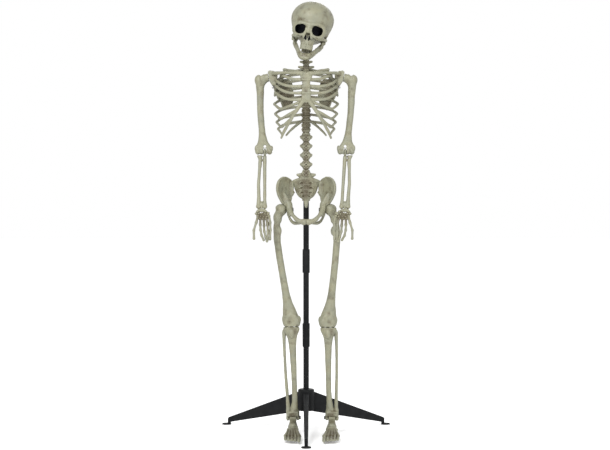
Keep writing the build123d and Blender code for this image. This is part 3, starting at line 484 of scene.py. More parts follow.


def bone_material():
    """Moulded olive-cream plastic, with a brown wash and painted shade in its creases and painted shade in its
    hollows.
    """
    material, tree, shader = new_material("bone")
    patches = remap(tree, noise(tree, 26, 5), 0.38, 0.66)
    colour = mixed(tree, patches, BONE_LIGHT, BONE_GREY)
    warm = remap(tree, noise(tree, 60, 6, 0.6), 0.5, 0.78)
    colour = mixed(tree, warm, colour, BONE_WARM)
    grain = noise(tree, 420, 4, 0.6)
    crease = remap(tree, attribute(tree, "crease"), 0.0, 0.2)
    hollow = remap(tree, attribute(tree, "hollow"), 0.0, 0.4)
    # creases get brown wash and painted shade, hollows get painted shade, standing in for ambient occlusion
    creased = arithmetic(tree, "MULTIPLY", crease, CREASE_WASH_AND_SHADE)
    wash_and_shade = arithmetic(tree, "ADD", creased, arithmetic(tree, "MULTIPLY", hollow, HOLLOW_SHADE))
    uneven = remap(tree, noise(tree, 190, 5, 0.65), 0.3, 0.7, 0.55, 1.15)
    wash_and_shade = remap(tree, arithmetic(tree, "MULTIPLY", wash_and_shade, uneven), 0.0, 1.0)
    colour = mixed(tree, wash_and_shade, colour, WASH_AND_SHADE)
    fleck = remap(tree, noise(tree, 300, 3, 0.7), 0.66, 0.78, 0.0, 0.4)
    colour = mixed(tree, fleck, colour, WASH_AND_SHADE)
    # black in the eye sockets and the nose hole
    black = remap(tree, attribute(tree, "dark_fill"), 0.35, 0.75)
    colour = mixed(tree, black, colour, SOCKET_BLACK)
    tree.links.new(colour, shader.inputs["Base Color"])
    rough = remap(tree, grain, 0.3, 0.7, 0.44, 0.6)
    tree.links.new(rough, shader.inputs["Roughness"])
    tree.links.new(remap(tree, black, 0.0, 1.0, 0.5, 0.04), shader.inputs["Specular IOR Level"])
    waves = arithmetic(tree, "MULTIPLY", noise(tree, 130, 3), 2.0)
    bumped(tree, shader, arithmetic(tree, "ADD", grain, waves), 0.25, 0.0006)
    return material


def plastic_material(name, colour, shade, rough, pitch, strength):
    """Plain moulded material: two shades, faint scuffs and a fine grain."""
    material, tree, shader = new_material(name)
    patches = remap(tree, noise(tree, pitch, 4), 0.35, 0.65)
    scuffs = remap(tree, noise(tree, 70, 6, 0.7, (1, 1, 0.12)), 0.62, 0.8, 0.0, 0.5)
    mixture = mixed(tree, scuffs, mixed(tree, patches, colour, shade), tuple(1.5 * c + 0.003 for c in colour))
    tree.links.new(mixture, shader.inputs["Base Color"])
    worn = remap(tree, noise(tree, 45, 6, 0.6), 0.3, 0.7, rough - 0.06, rough + 0.09)
    tree.links.new(worn, shader.inputs["Roughness"])
    shader.inputs["Specular IOR Level"].default_value = 0.1 if max(colour) < 0.02 else 0.5
    bumped(tree, shader, noise(tree, 900, 3), strength, 0.0003)
    return material


def steel_material(name, ribcage_shade, light):
    """Steel with turning marks."""
    material, tree, shader = new_material(name)
    marks = noise(tree, 260, 5, 0.6, (0.2, 1, 1))
    tree.links.new(mixed(tree, remap(tree, marks, 0.3, 0.7), ribcage_shade, light), shader.inputs["Base Color"])
    shader.inputs["Metallic"].default_value = 1.0
    tree.links.new(remap(tree, marks, 0.3, 0.7, 0.22, 0.4), shader.inputs["Roughness"])
    bumped(tree, shader, marks, 0.1, 0.0002)
    return material


BONE = bone_material()
JOINT = plastic_material("joint_plastic", (0.15, 0.14, 0.09), (0.1, 0.092, 0.055), 0.5, 60, 0.15)
BLACK = plastic_material("black_plastic", (0.0055, 0.006, 0.0065), (0.009, 0.0095, 0.01), 0.5, 40, 0.1)
PAINTED_TUBE = plastic_material("black_paint", (0.005, 0.0055, 0.006), (0.008, 0.0085, 0.009), 0.45, 90, 0.06)
RUBBER = plastic_material("black_rubber", (0.009, 0.009, 0.009), (0.014, 0.014, 0.013), 0.75, 120, 0.3)
STEEL = steel_material("steel", (0.42, 0.42, 0.41), (0.62, 0.61, 0.59))
DARK_STEEL = steel_material("dark_steel", (0.05, 0.05, 0.052), (0.09, 0.09, 0.09))

DARK_NODES = (
    "stand_hub", "stand_leg_front", "stand_leg_left", "stand_leg_right", "pole_joiner_lower", "pole_joiner_upper",
    "pole_cap",
)
TUBE_NODES = ("pole_lower", "pole_middle", "pole_upper")
STEEL_WORDS = ("screws", "pin", "bolt", "eyelet", "rod")


def dress_cad():
    """Gives every CAD part its material."""
    for name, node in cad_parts.items():
        if name in DARK_NODES:
            look = BLACK
        elif name in TUBE_NODES:
            look = PAINTED_TUBE
        elif name == "stand_foot_pads":
            look = RUBBER
        elif name.startswith(("hip_bolt", "ankle_bolt", "spine_rod")):
            look = DARK_STEEL
        elif any(word in name for word in STEEL_WORDS):
            look = STEEL
        elif "liner" in name or name in ("neck_socket", "neck_post", "stand_socket"):
            look = JOINT
        else:
            look = BONE
        node.data.materials.clear()
        node.data.materials.append(look)


# ---------------------------------------------------------------- head
# The skull and the jaw are modelled upright about the top of the neck, facing -y, and then tipped.
def head_place():
    lean = Matrix.Rotation(math.radians(HEAD_LEAN), 4, "Y")
    return Matrix.Translation(HEAD) @ lean @ Matrix.Rotation(math.radians(HEAD_TURN), 4, "Z")


def tooth_row(front_y, reach_x, depth, top, bottom, pairs, tilt=0.0):
    """Teeth set round a bow, one side only; the middle of the bow lies at front_y."""
    teeth = []
    for i in range(pairs):
        angle = math.radians((i + 0.5) * 80 / pairs)
        x, y = reach_x * math.sin(angle), front_y + depth * (1 - math.cos(angle))
        crown, root = (x, y - tilt, bottom), (x * 0.97, y + 1, top)
        along = (math.cos(angle), math.sin(angle), 0)
        teeth += limb([root, crown], [2.5, 2.9 if i < 3 else 3.1], (-along[1], along[0], 0), 1.25)
    return teeth


SKULL_SEAM = (27.8, 28.0)  # where the front half ends and the back half starts


def build_skull():
    clay = Clay((-80, -82, -14), (80, 124, 178), 1.15, seed=3, lumps=0.45)
    put, cut = clay.put, clay.cut
    sockets = brick((30, -56, 67), (18.6, 34, 13.6), 10.5, (0, 9, 8))
    sockets += egg((31, -62, 64.5), (17.4, 30, 15.8))
    nose = []
    for y in (-76, -62, -50):
        nose += limb([(3.2, y, 50), (4.6, y, 44), (5.9, y, 36), (5.2, y, 31)], [2.8, 4.0, 5.2, 4.2])
    put(egg((0, 28, 115), (75.5, 90, 63.5)))
    put(egg((0, 30, 90), (66, 84, 56)), 10)
    put(egg((0, -10, 112), (60, 51, 54)), 14)
    put(egg((0, 30, 53), (41, 54, 22)), 12)
    cut(egg((96, 0, 52), (33, 92, 36)), 14)
    put(egg((28, -32, 66), (30, 27, 29)), 10)
    cut(egg((77, -42, 86), (20, 26, 27), (0, 0, -12)), 8)
    brow = [(0, -61, 84), (16, -63, 86), (34, -58, 88), (48, -45, 82), (52, -39, 70)]
    put(limb(brow, [4, 4.2, 4.4, 4.6, 4.6]), 14)
    put(limb([(0, -58, 82), (0, -66, 58)], [8, 5]), 7)
    put(limb([(11, -62, 66), (12, -60, 38)], [5.5, 4.5]), 7)
    put(limb([(15, -61, 47), (31, -57, 44), (44, -48, 47), (51, -40, 58)], [5, 7, 8, 5.5]), 5)
    put(limb([(36, -51, 38), (49, -40, 36)], [6, 5.5]), 5)
    put(limb([(49, -38, 43), (56, -14, 46), (59, 6, 48), (58, 24, 50)], [6.2, 5, 4.6, 7], X, 1.3), 4)
    put(stack([(8, 0, -37, 16, 13), (12, 0, -39, 20, 15.5), (20, 0, -40, 23, 17.5), (31, 0, -38, 26, 20),
        (46, 0, -34, 33, 22), (62, 0, -26, 40, 26)], 4), 8)
    put(egg((49, 32, 39), (8, 12, 11)), 6)
    put(limb([(55, 34, 62), (60, 20, 66)], 4), 8)
    cut(egg((36, -55, 26), (8, 12, 10)), 7)
    cut(egg((46, -26, 22), (17, 30, 18)), 5)
    put(disc((56.5, 10, 38), X, 6, 3.8, 2), 3)
    cut(egg((33, -64, 39), (5.5, 7, 3.8), (0, 20, 0)), 3)
    for x in (4.4, 12.5, 19.5):
        put(limb([(x, -57.0 + 0.028 * x * x, 20), (x, -56.5 + 0.03 * x * x, 9)], [2.2, 2.6]), 3)
    put(tooth_row(-58.5, 21, 18, 12, 0.2, 5), 0.3)
    cut(sockets, 1.6)
    cut(nose, 1.0)
    cut(disc((0, 0, 2), Z, 20.5, 21.5), 2)
    clay.mirror()
    # the eye sockets and the nose hole are made black
    both = []
    for _, _, distance in sockets + nose:
        both += [(0, 0, distance), (0, 0, lambda x, y, z, d=distance: d(-x, y, z))]
    put(plate((0, -53, 0), Y, Z, [(-9, 58), (9, 58), (9, 28), (-3, 28), (-8, 40)], 0.8), 0.5)
    place = head_place()
    # a dark spot on the forehead and two faint ones beside it
    stains_and_shade = [((-41, -48, 108), 4.0, 0.15), ((-20, -58, 120), 5.0, 0.05), ((38, -50, 112), 6.0, 0.04)]
    pins = Clay((-64, 4, 32), (64, 16, 44), 0.6, seed=4, lumps=0.0)
    for side in (1, -1):
        pins.put(disc((side * 55.5, 10, 38), X, 2.4, 5.2, 0.6))
    pins.cast("jaw_pin_heads", "head", ["jaw_pins"], place)
    clay.cast("skull_face_shell", "head", ["skull_face"], place, lambda x, y, z: y - SKULL_SEAM[0], [both], stains_and_shade)
    clay.cast("skull_back_shell", "head", ["skull_cranium"], place, lambda x, y, z: SKULL_SEAM[1] - y)


def gum_ledge():
    """The ledge that carries the lower teeth."""
    return limb(flow([(0, -50, -21.5), (11, -47.5, -21), (19, -40, -18), (26, -28, -10), (33, -14, -1)], 9), 4.4)


def build_jaw():
    """The lower jaw, modelled where it hangs open."""
    clay = Clay((-66, -72, -46), (66, 30, 52), 1.0, seed=5, lumps=0.35)
    put = clay.put
    bow = [(47, 6, 23), (41, 1, 13), (34.5, -10, 4), (28.5, -24, -6.5), (22, -36, -16), (15, -46, -24),
        (7, -51, -27.4), (0, -52, -28)]
    for part in limb(bow, [9.5, 9.4, 9.6, 9.8, 10.2, 10.6, 11.2, 11.4], "strap", 2.3):
        put([part], 3)
    put(limb([(46.5, 6, 21), (51, 8, 30), (54, 10, 38)], [9.5, 8.5, 6.2], X, 2.5), 3)
    put(limb([(49, 0, 28), (51, -5, 37)], [5.5, 3], X, 2), 3)
    put(egg((8, -54, -32), (9, 5.5, 6)), 5)
    put(gum_ledge(), 3)
    gum = [(3, -52, -16.5), (11, -49, -16), (19, -41, -14), (26, -29, -6), (32, -17, 1)]
    for i, (x, y, z) in enumerate(flow(gum, 8)):
        put(limb([(x, y + 0.5, z - 4), (x, y, z - 0.2)], [2.1, 2.3 if i < 4 else 2.7]), 0.5)
    put(disc((53.5, 10, 38), X, 6, 3.5), 2)
    clay.mirror()
    # darker round the lower teeth and on the chin
    stains_and_shade = [((0, -52, -16), 12, 0.26), ((-18, -44, -14), 8, 0.24), ((18, -44, -14), 8, 0.24),
        ((0, -54, -26), 12, 0.08)]
    clay.cast("lower_jaw", "jaw", ["jaw"], head_place(), stains_and_shade=stains_and_shade)


# ---------------------------------------------------------------- neck and spine
def build_neck():
    for number, (low, high, reach, y) in enumerate(((1278, 1298, 26, 36), (1298, 1314, 20, 33)), 1):
        middle = (low + high) / 2
        clay = Clay((-34, y - 26, low - 8), (34, y + 34, high + 8), 0.9, seed=20 + number, lumps=0.3)
        put = clay.put
        put(stack([(low, 0, y, 11, 10), (middle, 0, y, 9.5, 9), (high, 0, y, 11, 10)], 1.5), 1)
        for side in (1, -1):
            wing = [(side * 6, y, middle - 1), (side * (reach - 8), y - 2, middle),
                (side * (reach - 2), y - 3, middle + 1)]
            put(limb(wing, [7, 6.4, 5.2], Z, 1.3), 3)
            put(limb(sided(side, (5, y + 6, middle), (0, y + 18, middle - 3)), [4, 3]), 3)
        # darker across the front of each neck bone
        stains_and_shade = [((0, y - 8, middle), 14, 0.3)]
        clay.cast(f"neck_bone_{number}", "torso", [f"cervical_vertebra_{number}"], stains_and_shade=stains_and_shade)


LUMBAR_ENDS = (902, 930, 962, 995, 1027, 1058)


def build_lumbar():
    for number, (low, high) in enumerate(zip(LUMBAR_ENDS, LUMBAR_ENDS[1:]), 1):
        middle = (low + high) / 2
        clay = Clay((-40, 22, low - 4), (40, 92, high + 4), 0.95, seed=30 + number, lumps=0.35)
        put, cut = clay.put, clay.cut
        if number == 1:
            put(stack([(low + 0.4, 0, 46, 21, 15), (low + 8, 0, 46, 19, 14), (high - 5, 0, 46, 13, 12),
                (high - 0.4, 0, 46, 11, 11)], 2), 1)
            wing = [(8, 48, low + 6), (22, 48, low + 7), (30, 47, low + 9)]
        else:
            put(stack([(low + 0.4, 0, 46, 11, 11), (low + 6, 0, 46, 13, 12), (middle, 0, 46, 17.5, 15),
                (high - 6, 0, 46, 13, 12), (high - 0.4, 0, 46, 11, 11)], 1.5), 1)
            wing = [(8, 46, middle), (14, 45, middle + 1), (18, 45, middle + 2)]
        for side in (1, -1):
            points = sided(side, *wing)
            put(limb(points, [9.5, 7.6, 4.6], Y, 1.2), 4)
            put(limb(sided(side, (6, 34.5, middle - 9), (12.5, 34.5, middle), (6, 34.5, middle + 9)), 2.4), 3)
            put(limb(sided(side, (8, 60, low + 6), (10, 62, high - 6)), [4.5, 4]), 3)
            cut(egg((side * 6.5, 30, middle + 6), (3.4, 5, 2.6), (0, side * 35, 0)), 1.5)
            cut(egg((side * 6.5, 30, middle - 6), (3.4, 5, 2.6), (0, -side * 35, 0)), 1.5)
        put(limb([(0, 58, middle), (0, 76, middle - 6), (0, 80, middle - 8)], [5, 4, 4.5], X, 1.8), 3)
        cut(disc((0, 32, middle), Y, 2.2 if number % 2 else 3.0, 5), 1.2)
        # painted shade at both ends of each vertebra, where it meets the next, and round the rod hole
        stains_and_shade = [((0, 32, middle), 7, 0.16), ((0, 36, low), 12, 0.42), ((0, 36, high), 12, 0.36)]
        clay.cast(f"lumbar_bone_{number}", "torso", [f"lumbar_vertebra_{number}"], stains_and_shade=stains_and_shade)


# Sections of the sacrum: height, x, y, half x, half y.
SACRUM = [
    (795, 0, 50, 4, 4), (818, 0, 56, 9, 6), (826, 0, 56, 15, 8), (834, 0, 56, 27, 9), (848, 0, 54, 36, 11),
    (862, 0, 52, 41, 12), (874, 0, 49, 44, 12.5), (886, 0, 47, 46.5, 13), (893, 0, 46.5, 42, 14),
    (901.5, 0, 46, 22, 15),
]


def build_sacrum():
    clay = Clay((-56, 26, 784), (56, 84, 906), 1.05, seed=40, lumps=0.4)
    put, cut = clay.put, clay.cut
    put(stack(SACRUM, 3), 1)
    table = np.array(SACRUM)

    def front(level):
        return float(np.interp(level, table[:, 0], table[:, 2] - table[:, 4]))

    for side in (1, -1):
        for level, x, size in ((880, 17, 4.4), (863, 18, 4.8), (847, 16, 4.2), (834, 11, 2.8)):
            cut(egg((side * x, front(level) + 1, level), (size * 1.1, 3.2, size * 0.7), (0, side * 28, 0)), 3.5)
            y = front(level) + 1.5
            lip = sided(side, (x - 7, y, level + 6), (x + 1, y, level + 7), (x + 7, y + 1, level + 1))
            put(limb(flow(lip, 6), 2.4), 2)
            cut(egg((side * x, 70, level), (3.4, 6, 3)), 2)
        put(limb(sided(side, (12, 40, 898), (28, 42, 893), (44, 46, 888)), [7, 6, 5]), 5)
        for level in (870, 855):
            cut(egg((side * 50, 38, level), (9, 14, 3.4)), 2)
    for level, half in ((874, 10), (857, 9), (842, 8)):
        put(limb([(-half, front(level), level), (half, front(level), level)], 1.8), 2.5)
        put(egg((0, 66, level - 4), (3, 7, 5)), 3)
    # painted shade down the front of the sacrum and where it meets the pelvis
    stains_and_shade = [((0, 36, 884), 20, 0.3), ((0, 42, 858), 18, 0.26), ((0, 44, 840), 14, 0.16), ((44, 34, 862), 8, 0.4),
        ((-44, 34, 862), 8, 0.4)]
    clay.cast("sacrum_bone", "torso", ["sacrum"], stains_and_shade=stains_and_shade)


# ---------------------------------------------------------------- pelvis
WING = (
    (20, 4), (8, 22), (0, 42), (0, 86), (8, 94), (22, 100), (36, 103.5), (50, 103), (62, 99), (72, 94), (80, 87),
    (86, 77), (89, 64), (88, 52), (82, 38), (72, 24), (58, 8), (44, -4),
)


def build_pelvis():
    clay = Clay((-124, -62, 722), (124, 92, 910), 1.25, seed=50, lumps=0.45)
    put, cut = clay.put, clay.cut
    for side in (1, -1):
        put(disc((side * 61, 15, 787), X, 22, 5.8, 3), 4)
        ring = [(60, 10, 806), (58, 0, 790), (51, -14, 772), (41, -25, 760), (26, -33, 749), (10, -36, 745),
            (0, -36, 744)]
        put(limb(flow(sided(side, *ring), 16), [9] * 6 + [7.6] * 7 + [8.6] * 3), 3)
        loop = [(60, 20, 780), (56, 20, 762), (50, 16, 749), (41, 5, 741), (28, -13, 741), (16, -30, 744)]
        put(limb(flow(sided(side, *loop), 12), [9, 8, 7.4, 7, 6.8, 6.6, 6.2, 6, 6, 6, 6.4, 7]), 2.5)
        put(egg((side * 8, -36, 744), (12, 8.5, 10.5)), 4)
        put(plate((side * 53.5, 52, 800), (side * 54, -74, 0), Z, WING, 3.2, bulge=side * 0.0022, middle=(40, 62),
            rim=2.4), 2)
        strut = [(58, 10, 794), (63, 14, 812), (70, 14, 828), (74, 12, 840)]
        put(limb(sided(side, *strut), [10, 11, 8, 4]), 10)
        put(limb(sided(side, (67, 14, 813), (80, 16, 824)), [8.5, 6]), 6)
        put(brick((side * 52.5, 50, 862), (8.5, 11, 24), 5), 6)
        put(limb(sided(side, (51, 48, 872), (47, 46, 871)), 4.5), 2)
        put(limb(sided(side, (51, 50, 848), (44, 48, 849)), 4.5), 2)
        cut(egg(HIP["left" if side > 0 else "right"], [22.2] * 3), 1)
        cut(disc((side * 106, 15, 787), X, 23, 18), 1)
        cut(egg((side * 49, -5, 757), (3.4, 44, 13), (0, side * 38, 0)), 1.5)
        cut(disc((side * 50, 15, 787), X, 5.4, 12, 0.5), 0.8)
    cut(limb([(0, -60, 731), (0, -10, 729)], 6), 3)
    cut(brick((0, -45, 745), (0.6, 3, 14), 0.5), 2)
    clay.cast("pelvis_bone", "torso", ["pelvis"])


# ---------------------------------------------------------------- chest
UPPER_PATHS = (
    ((90, 15, 1252), (88, -18, 1255), (76, -46, 1248), (54, -63, 1238), (34, -71, 1234), (12, -75, 1233)),
    ((104, 15, 1238), (106, -8, 1238), (94, -40, 1226), (72, -59, 1215), (44, -70, 1210), (12, -75, 1210)),
    ((105, 15, 1216), (105, -10, 1217), (92, -42, 1204), (70, -60, 1192), (42, -71, 1187), (12, -75, 1187)),
    ((110, 15, 1188), (108, -10, 1195), (94, -42, 1182), (72, -60, 1169), (44, -71, 1164), (12, -75, 1165)),
)
CHEST_SEAM = (14.9, 15.1)  # where the front half ends and the back half starts
SPINE_LEVELS = (1058, 1066, 1150, 1230, 1268)
SPINE_Y = (46, 48, 58, 60, 46)
SPINE_HALF_WIDTH = (15, 17, 17, 15, 12)
# Each lower rib: x and height at the side of the chest, and its share of the way down the rib margin.
LOWER_RIBS = ((112, 1157, 0.02), (109, 1123, 0.27), (104, 1094, 0.5), (99, 1070, 0.74))
SHOULDER_PLATE = (
    (134.2, 1268), (127.4, 1236), (118, 1221), (107, 1221), (102, 1238), (100, 1262), (112, 1271), (128, 1273),
)
BLADE = (
    (-30, 44), (-14, 52), (20, 50), (36, 44), (37, 18), (28, -6), (12, -35), (3, -56), (-8, -60), (-16, -52),
    (-35, -32), (-40, -6), (-32, 20),
)
STERNUM = (
    (-24, 1258), (-10, 1261), (0, 1256), (10, 1261), (24, 1258), (19, 1238), (13, 1226), (15, 1200), (16, 1172),
    (10, 1158), (0, 1152), (-10, 1158), (-16, 1172), (-15, 1200), (-13, 1226), (-19, 1238),
)


def build_chest():
    clay = Clay((-140, -92, 1026), (140, 92, 1292), 1.4, seed=60, lumps=0.5)
    put, cut = clay.put, clay.cut
    put(plate((0, -75, 0), X, Z, STERNUM, 4.2), 3)
    for z in (1233, 1210, 1187, 1165):
        put(limb([(-14, -79, z), (14, -79, z)], 2.6), 5)
    for side in (1, -1):
        collar = arc(*sided(side, (16, -76, 1254), (72, -52, 1259), (118, 4, 1262)), 11)
        put(limb(collar, [8, 6.6, 5.8, 5.2, 5, 5, 5.2, 5.6, 6, 6.6, 7.5]), 3)
        for path in UPPER_PATHS:
            front = flow(sided(side, *path), 14)
            put(limb(front, [5.0] * 11 + [5.2, 5.8, 6.4], "strap", 1.7), 1.5)
        margin = arc(*sided(side, (10, -75, 1160), (52, -68, 1098), (86, -34, 1036)), 61)
        put(limb(margin[::6], [7, 6.8, 6.5, 6, 6, 5.8, 5.6, 5.4, 5, 4.6, 4.2], "strap", 1.3), 2)
        for x, side_z, share in LOWER_RIBS:
            end = margin[round(share * 60)]
            bend = (side * (0.76 * x + 0.12 * abs(end[0])), -34, side_z - 21)
            rise_x = side * (0.42 * x + 0.52 * abs(end[0]))
            rise = (rise_x, 0.35 * -38 + 0.65 * end[1], 0.45 * end[2] + 0.55 * (side_z - 22))
            path = [(side * x, 15, side_z), (side * x * 0.92, -10, side_z - 10), bend, rise, end]
            put(limb(flow(path, 14), [5.0] * 11 + [5.2, 5.6, 6.0], "strap", 1.7), 1.5)
        for x, side_z in [path[0][::2] for path in UPPER_PATHS] + [rib[:2] for rib in LOWER_RIBS]:
            path = [(x, 15, side_z), (x * 0.9, 34, side_z + 10), (x * 0.74, 58, side_z + 20),
                (x * 0.42, 68, side_z + 27), (10, 60, side_z + 31)]
            put(limb(flow(sided(side, *path), 12), 4.9, "strap", 1.6), 1.5)
        floating = arc(*sided(side, (10, 58, 1104), (45, 64, 1078), (70, 44, 1050)), 8)
        put(limb(floating, [4.6, 4.6, 4.6, 4.6, 4.4, 4, 3.6, 3]), 1.5)
        put(plate((0, 15, 0), X, Z, [(side * u, v) for u, v in SHOULDER_PLATE], 19, corner=3), 2)
        put(limb(sided(side, (111, 30, 1226), (108, 46, 1208), (98, 56, 1180)), [6, 4.5, 3.5]), 3)
        cut(limb(sided(side, (122, 24, 1252), (122, 44, 1252)), 9), 3)
        put(plate((side * 77, 68, 1200), (side * 50, -25, 0), Z, BLADE, 2.6, bulge=-side * 0.0012, middle=(4, 10),
            rim=1.4), 2)
        put(limb(sided(side, (53, 80, 1232), (84, 76, 1240), (106, 56, 1250), (116, 34, 1258)), [3, 4, 4.6, 5]), 4)
        yoke = sided(side, (0, 54, 1276), (40, 52, 1277.5), (66, 48, 1280), (77, 46, 1281))
        put(limb(yoke, [5.5, 4.6, 4.6, 5.8]), 3)
        put(limb(sided(side, (72, 47, 1280), (84, 58, 1262), (86, 66, 1244)), [5.5, 5, 4]), 3)
    for z in np.linspace(1060, 1266, 13):
        y, half = (float(np.interp(z, SPINE_LEVELS, row)) for row in (SPINE_Y, SPINE_HALF_WIDTH))
        put(stack([(z - 8.6, 0, y, half - 1, 12), (z - 5, 0, y, half, 13), (z, 0, y, half - 4.5, 10.5),
            (z + 5, 0, y, half, 13), (z + 8.6, 0, y, half - 1, 12)], 1.5), 0.8)
        put(limb([(0, y + 8, z), (0, y + 20, z - 9)], [4.2, 3], X, 1.5), 2)
    put(stack([(1262, 0, 46, 13, 12), (1270, 0, 44, 12, 11), (1278, 0, 38, 10.5, 10)], 1.5), 3)
    clay.cast("ribcage_front_bone", "torso", ["ribcage_front"], keep=lambda x, y, z: y - CHEST_SEAM[0])
    # painted shade over the thoracic column and the back ribs, deep inside the ribcage
    ribcage_shade = [((0, 48, z), 34, 0.2) for z in (1070, 1115, 1160, 1205, 1250)]
    ribcage_shade += [((side * 76, 50, z), 38, 0.15) for side in (1, -1) for z in (1250, 1205, 1160)]
    clay.cast("ribcage_back_bone", "torso", ["ribcage_back"], stains_and_shade=ribcage_shade, keep=lambda x, y, z: CHEST_SEAM[1] - y)


# ---------------------------------------------------------------- arms
# Tables of a long bone's sections: share of the way down, outward, back, half x, half y.
HUMERUS_SHAFT = (
    (0, 0, 0, 15, 15), (0.1, 1, 0, 14, 13.5), (0.2, 1, 0, 12.6, 12), (0.35, 3.5, 0, 11.6, 11.4),
    (0.48, 4, 0, 11.3, 11), (0.65, 3, 0, 11, 10.4), (0.76, 2, 0, 12, 10), (0.86, 1, 0, 17, 9.5),
    (0.93, 0.5, 0, 27, 9), (0.975, 0.5, 0, 29, 9),
)
ULNA = (
    (0.075, -3.5, 0, 6.5, 7.5), (0.16, -4.5, 0, 6.8, 7), (0.25, -5, 0, 6.2, 6.4), (0.6, -8, 0, 5.4, 5.6),
    (0.85, -10, 0, 5.6, 5.8), (0.91, -11, 0, 7, 6.6), (0.95, -11, 0, 7.6, 7),
)
RADIUS = (
    (0.065, 13.5, 0, 9.6, 8.6), (0.10, 13, 0, 9.6, 8.6), (0.118, 12, 0, 6, 6), (0.14, 12, 0, 5.4, 5.4),
    (0.2, 11, 0, 7, 6), (0.3, 12.5, 0, 5.2, 5.4), (0.55, 14, 0, 5.6, 5.4), (0.75, 11.5, 0, 6, 5.8),
    (0.88, 10.5, 0, 7.4, 6.8), (0.95, 10.5, 0, 9, 7.8),
)


def build_humerus(name, side):
    shoulder, top, elbow = (np.array(p[name], float) for p in (SHOULDER, ARM_TOP, ELBOW))
    axis = np.array((side * math.cos(SHOULDER_DROP), 0, -math.sin(SHOULDER_DROP)))
    clay = Clay((min(elbow[0], top[0]) - 36, -12, 972), (max(elbow[0], top[0]) + 36, 42, 1268), 1.05, seed=70,
        lumps=0.45)
    put, cut = clay.put, clay.cut
    put(limb([shoulder + axis * 2, shoulder + axis * 24], [14.6, 12.5]), 2)
    put(egg((top[0] + side * 3, 15, top[2] - 1), (15, 17, 19)), 5)
    put(egg((top[0] - side * 13, 13, top[2] + 6), (9, 13, 12)), 5)
    put(limb([(top[0] - side * 12, 15, top[2] - 8), (top[0], 15, top[2] - 30)], [10, 10]), 10)
    cut(limb([top + (-side * 4, -20, 19), top + (-side * 4, 20, 19)], 4.4), 4)
    cut(limb([top + (-side * 4, -18, 18), top + (-side * 4, -18, -4)], [4, 2.5]), 4)
    put(lofted(side, top, elbow, HUMERUS_SHAFT), 4)
    for offset, radius in ((-21, 10.5), (-8, 10), (5, 10.2), (20, 10.8)):
        put(egg((elbow[0] + offset, 15, elbow[2]), (9.5, radius, radius)), 3)
    put(egg((elbow[0] - side * 27, 17, elbow[2] + 12), (5, 7, 9)), 5)
    put(egg((elbow[0] + side * 27, 15, elbow[2] + 12), (4.5, 6, 9)), 5)
    cut(egg((elbow[0], 3, elbow[2] + 19), (12, 5, 9)), 4)
    cut(egg((elbow[0], 27, elbow[2] + 19), (12, 5, 9)), 4)
    tongue = elbow[0] - side * 3.5
    cut(brick((tongue, 15, elbow[2] - 3), (5.1, 30, 14.6), 1), 0.8)
    cut(limb([(tongue, -14, elbow[2] + 18), (tongue, 44, elbow[2] + 18)], 5.2), 1)
    inner = shoulder + axis * 0.7

    def past_shoulder(x, y, z):
        return (inner[0] - x) * float(axis[0]) + (inner[2] - z) * float(axis[2])

    clay.cast(f"humerus_bone_{name}", f"arm_{name}", [f"humerus_{name}"], keep=past_shoulder)


def build_forearm(name, side):
    elbow, wrist = np.array(ELBOW[name], float), np.array(WRIST[name], float)
    along = unit(wrist - elbow)
    clay = Clay((min(elbow[0], wrist[0]) - 30, -66, 782), (max(elbow[0], wrist[0]) + 30, 34, 1006), 1.0, seed=80,
        lumps=0.4)
    put, cut = clay.put, clay.cut
    put(lofted(side, elbow, wrist, ULNA), 2)
    put(lofted(side, elbow, wrist, RADIUS), 2)
    bridge = wrist - along * 22
    put(limb([bridge - along * 3, bridge + along * 3], 6.4), 3)
    put(limb([bridge + (-9, 0, 0), bridge + (9, 0, 0)], 5), 3)
    cut(limb([bridge + along * 5 + (0, -10, 0), wrist + (0, -10, 0)], [3.5, 5.5]), 3)
    for x, reach in ((-side * 11, 7.5), (side * 10.5, 8.2)):
        put(egg(wrist - along * 14 + (x, 0, 0), (reach, 7.6, 8.4)), 3)
    put(limb([elbow + (side * -2, -9, -30), elbow + (side * 9, -9, -31)], 4.2), 3)
    tongue = np.array((elbow[0] - side * 3.5, elbow[1], elbow[2]))
    put(limb([tongue + (-0.2, 0, 0), tongue + (0.2, 0, 0)], 9.8, X, 2.3), 1)
    put(limb([tongue, tongue + (0, 0, -20)], [7, 7], X, 1.6), 2)
    clay.cast(f"forearm_bone_{name}", f"forearm_{name}", [f"forearm_{name}"])


# Finger joints as (outward, forward, down) from the wrist, and the wrist bones as (outward, down).
FINGERS = (
    ((12, 2, 18), (18, 8, 42), (26, 15, 68), (25, 24, 98)),
    ((4, 0, 24), (4, 6, 50), (3, 14, 67), (-1, 22, 86), (-9, 34, 102)),
    ((-7, 0, 26), (-9, 6, 53), (-10, 15, 72), (-15, 25, 92), (-20, 36, 106)),
    ((-16, 0, 22), (-21, 6, 51), (-22, 16, 72), (-22, 28, 101)),
    ((-25, 0, 18), (-30, 6, 42), (-31, 14, 67), (-30, 26, 100)),
)
CARPALS = (
    (14, 4), (-15, 4), (18, 11), (-23, 9), (10, 11), (-1, 11.5), (-12, 12), (-21, 12.5), (13, 19), (3, 20.5),
    (-7, 21.5), (-17, 21), (-25, 19), (8, 27), (-4, 28), (-15, 27),
)


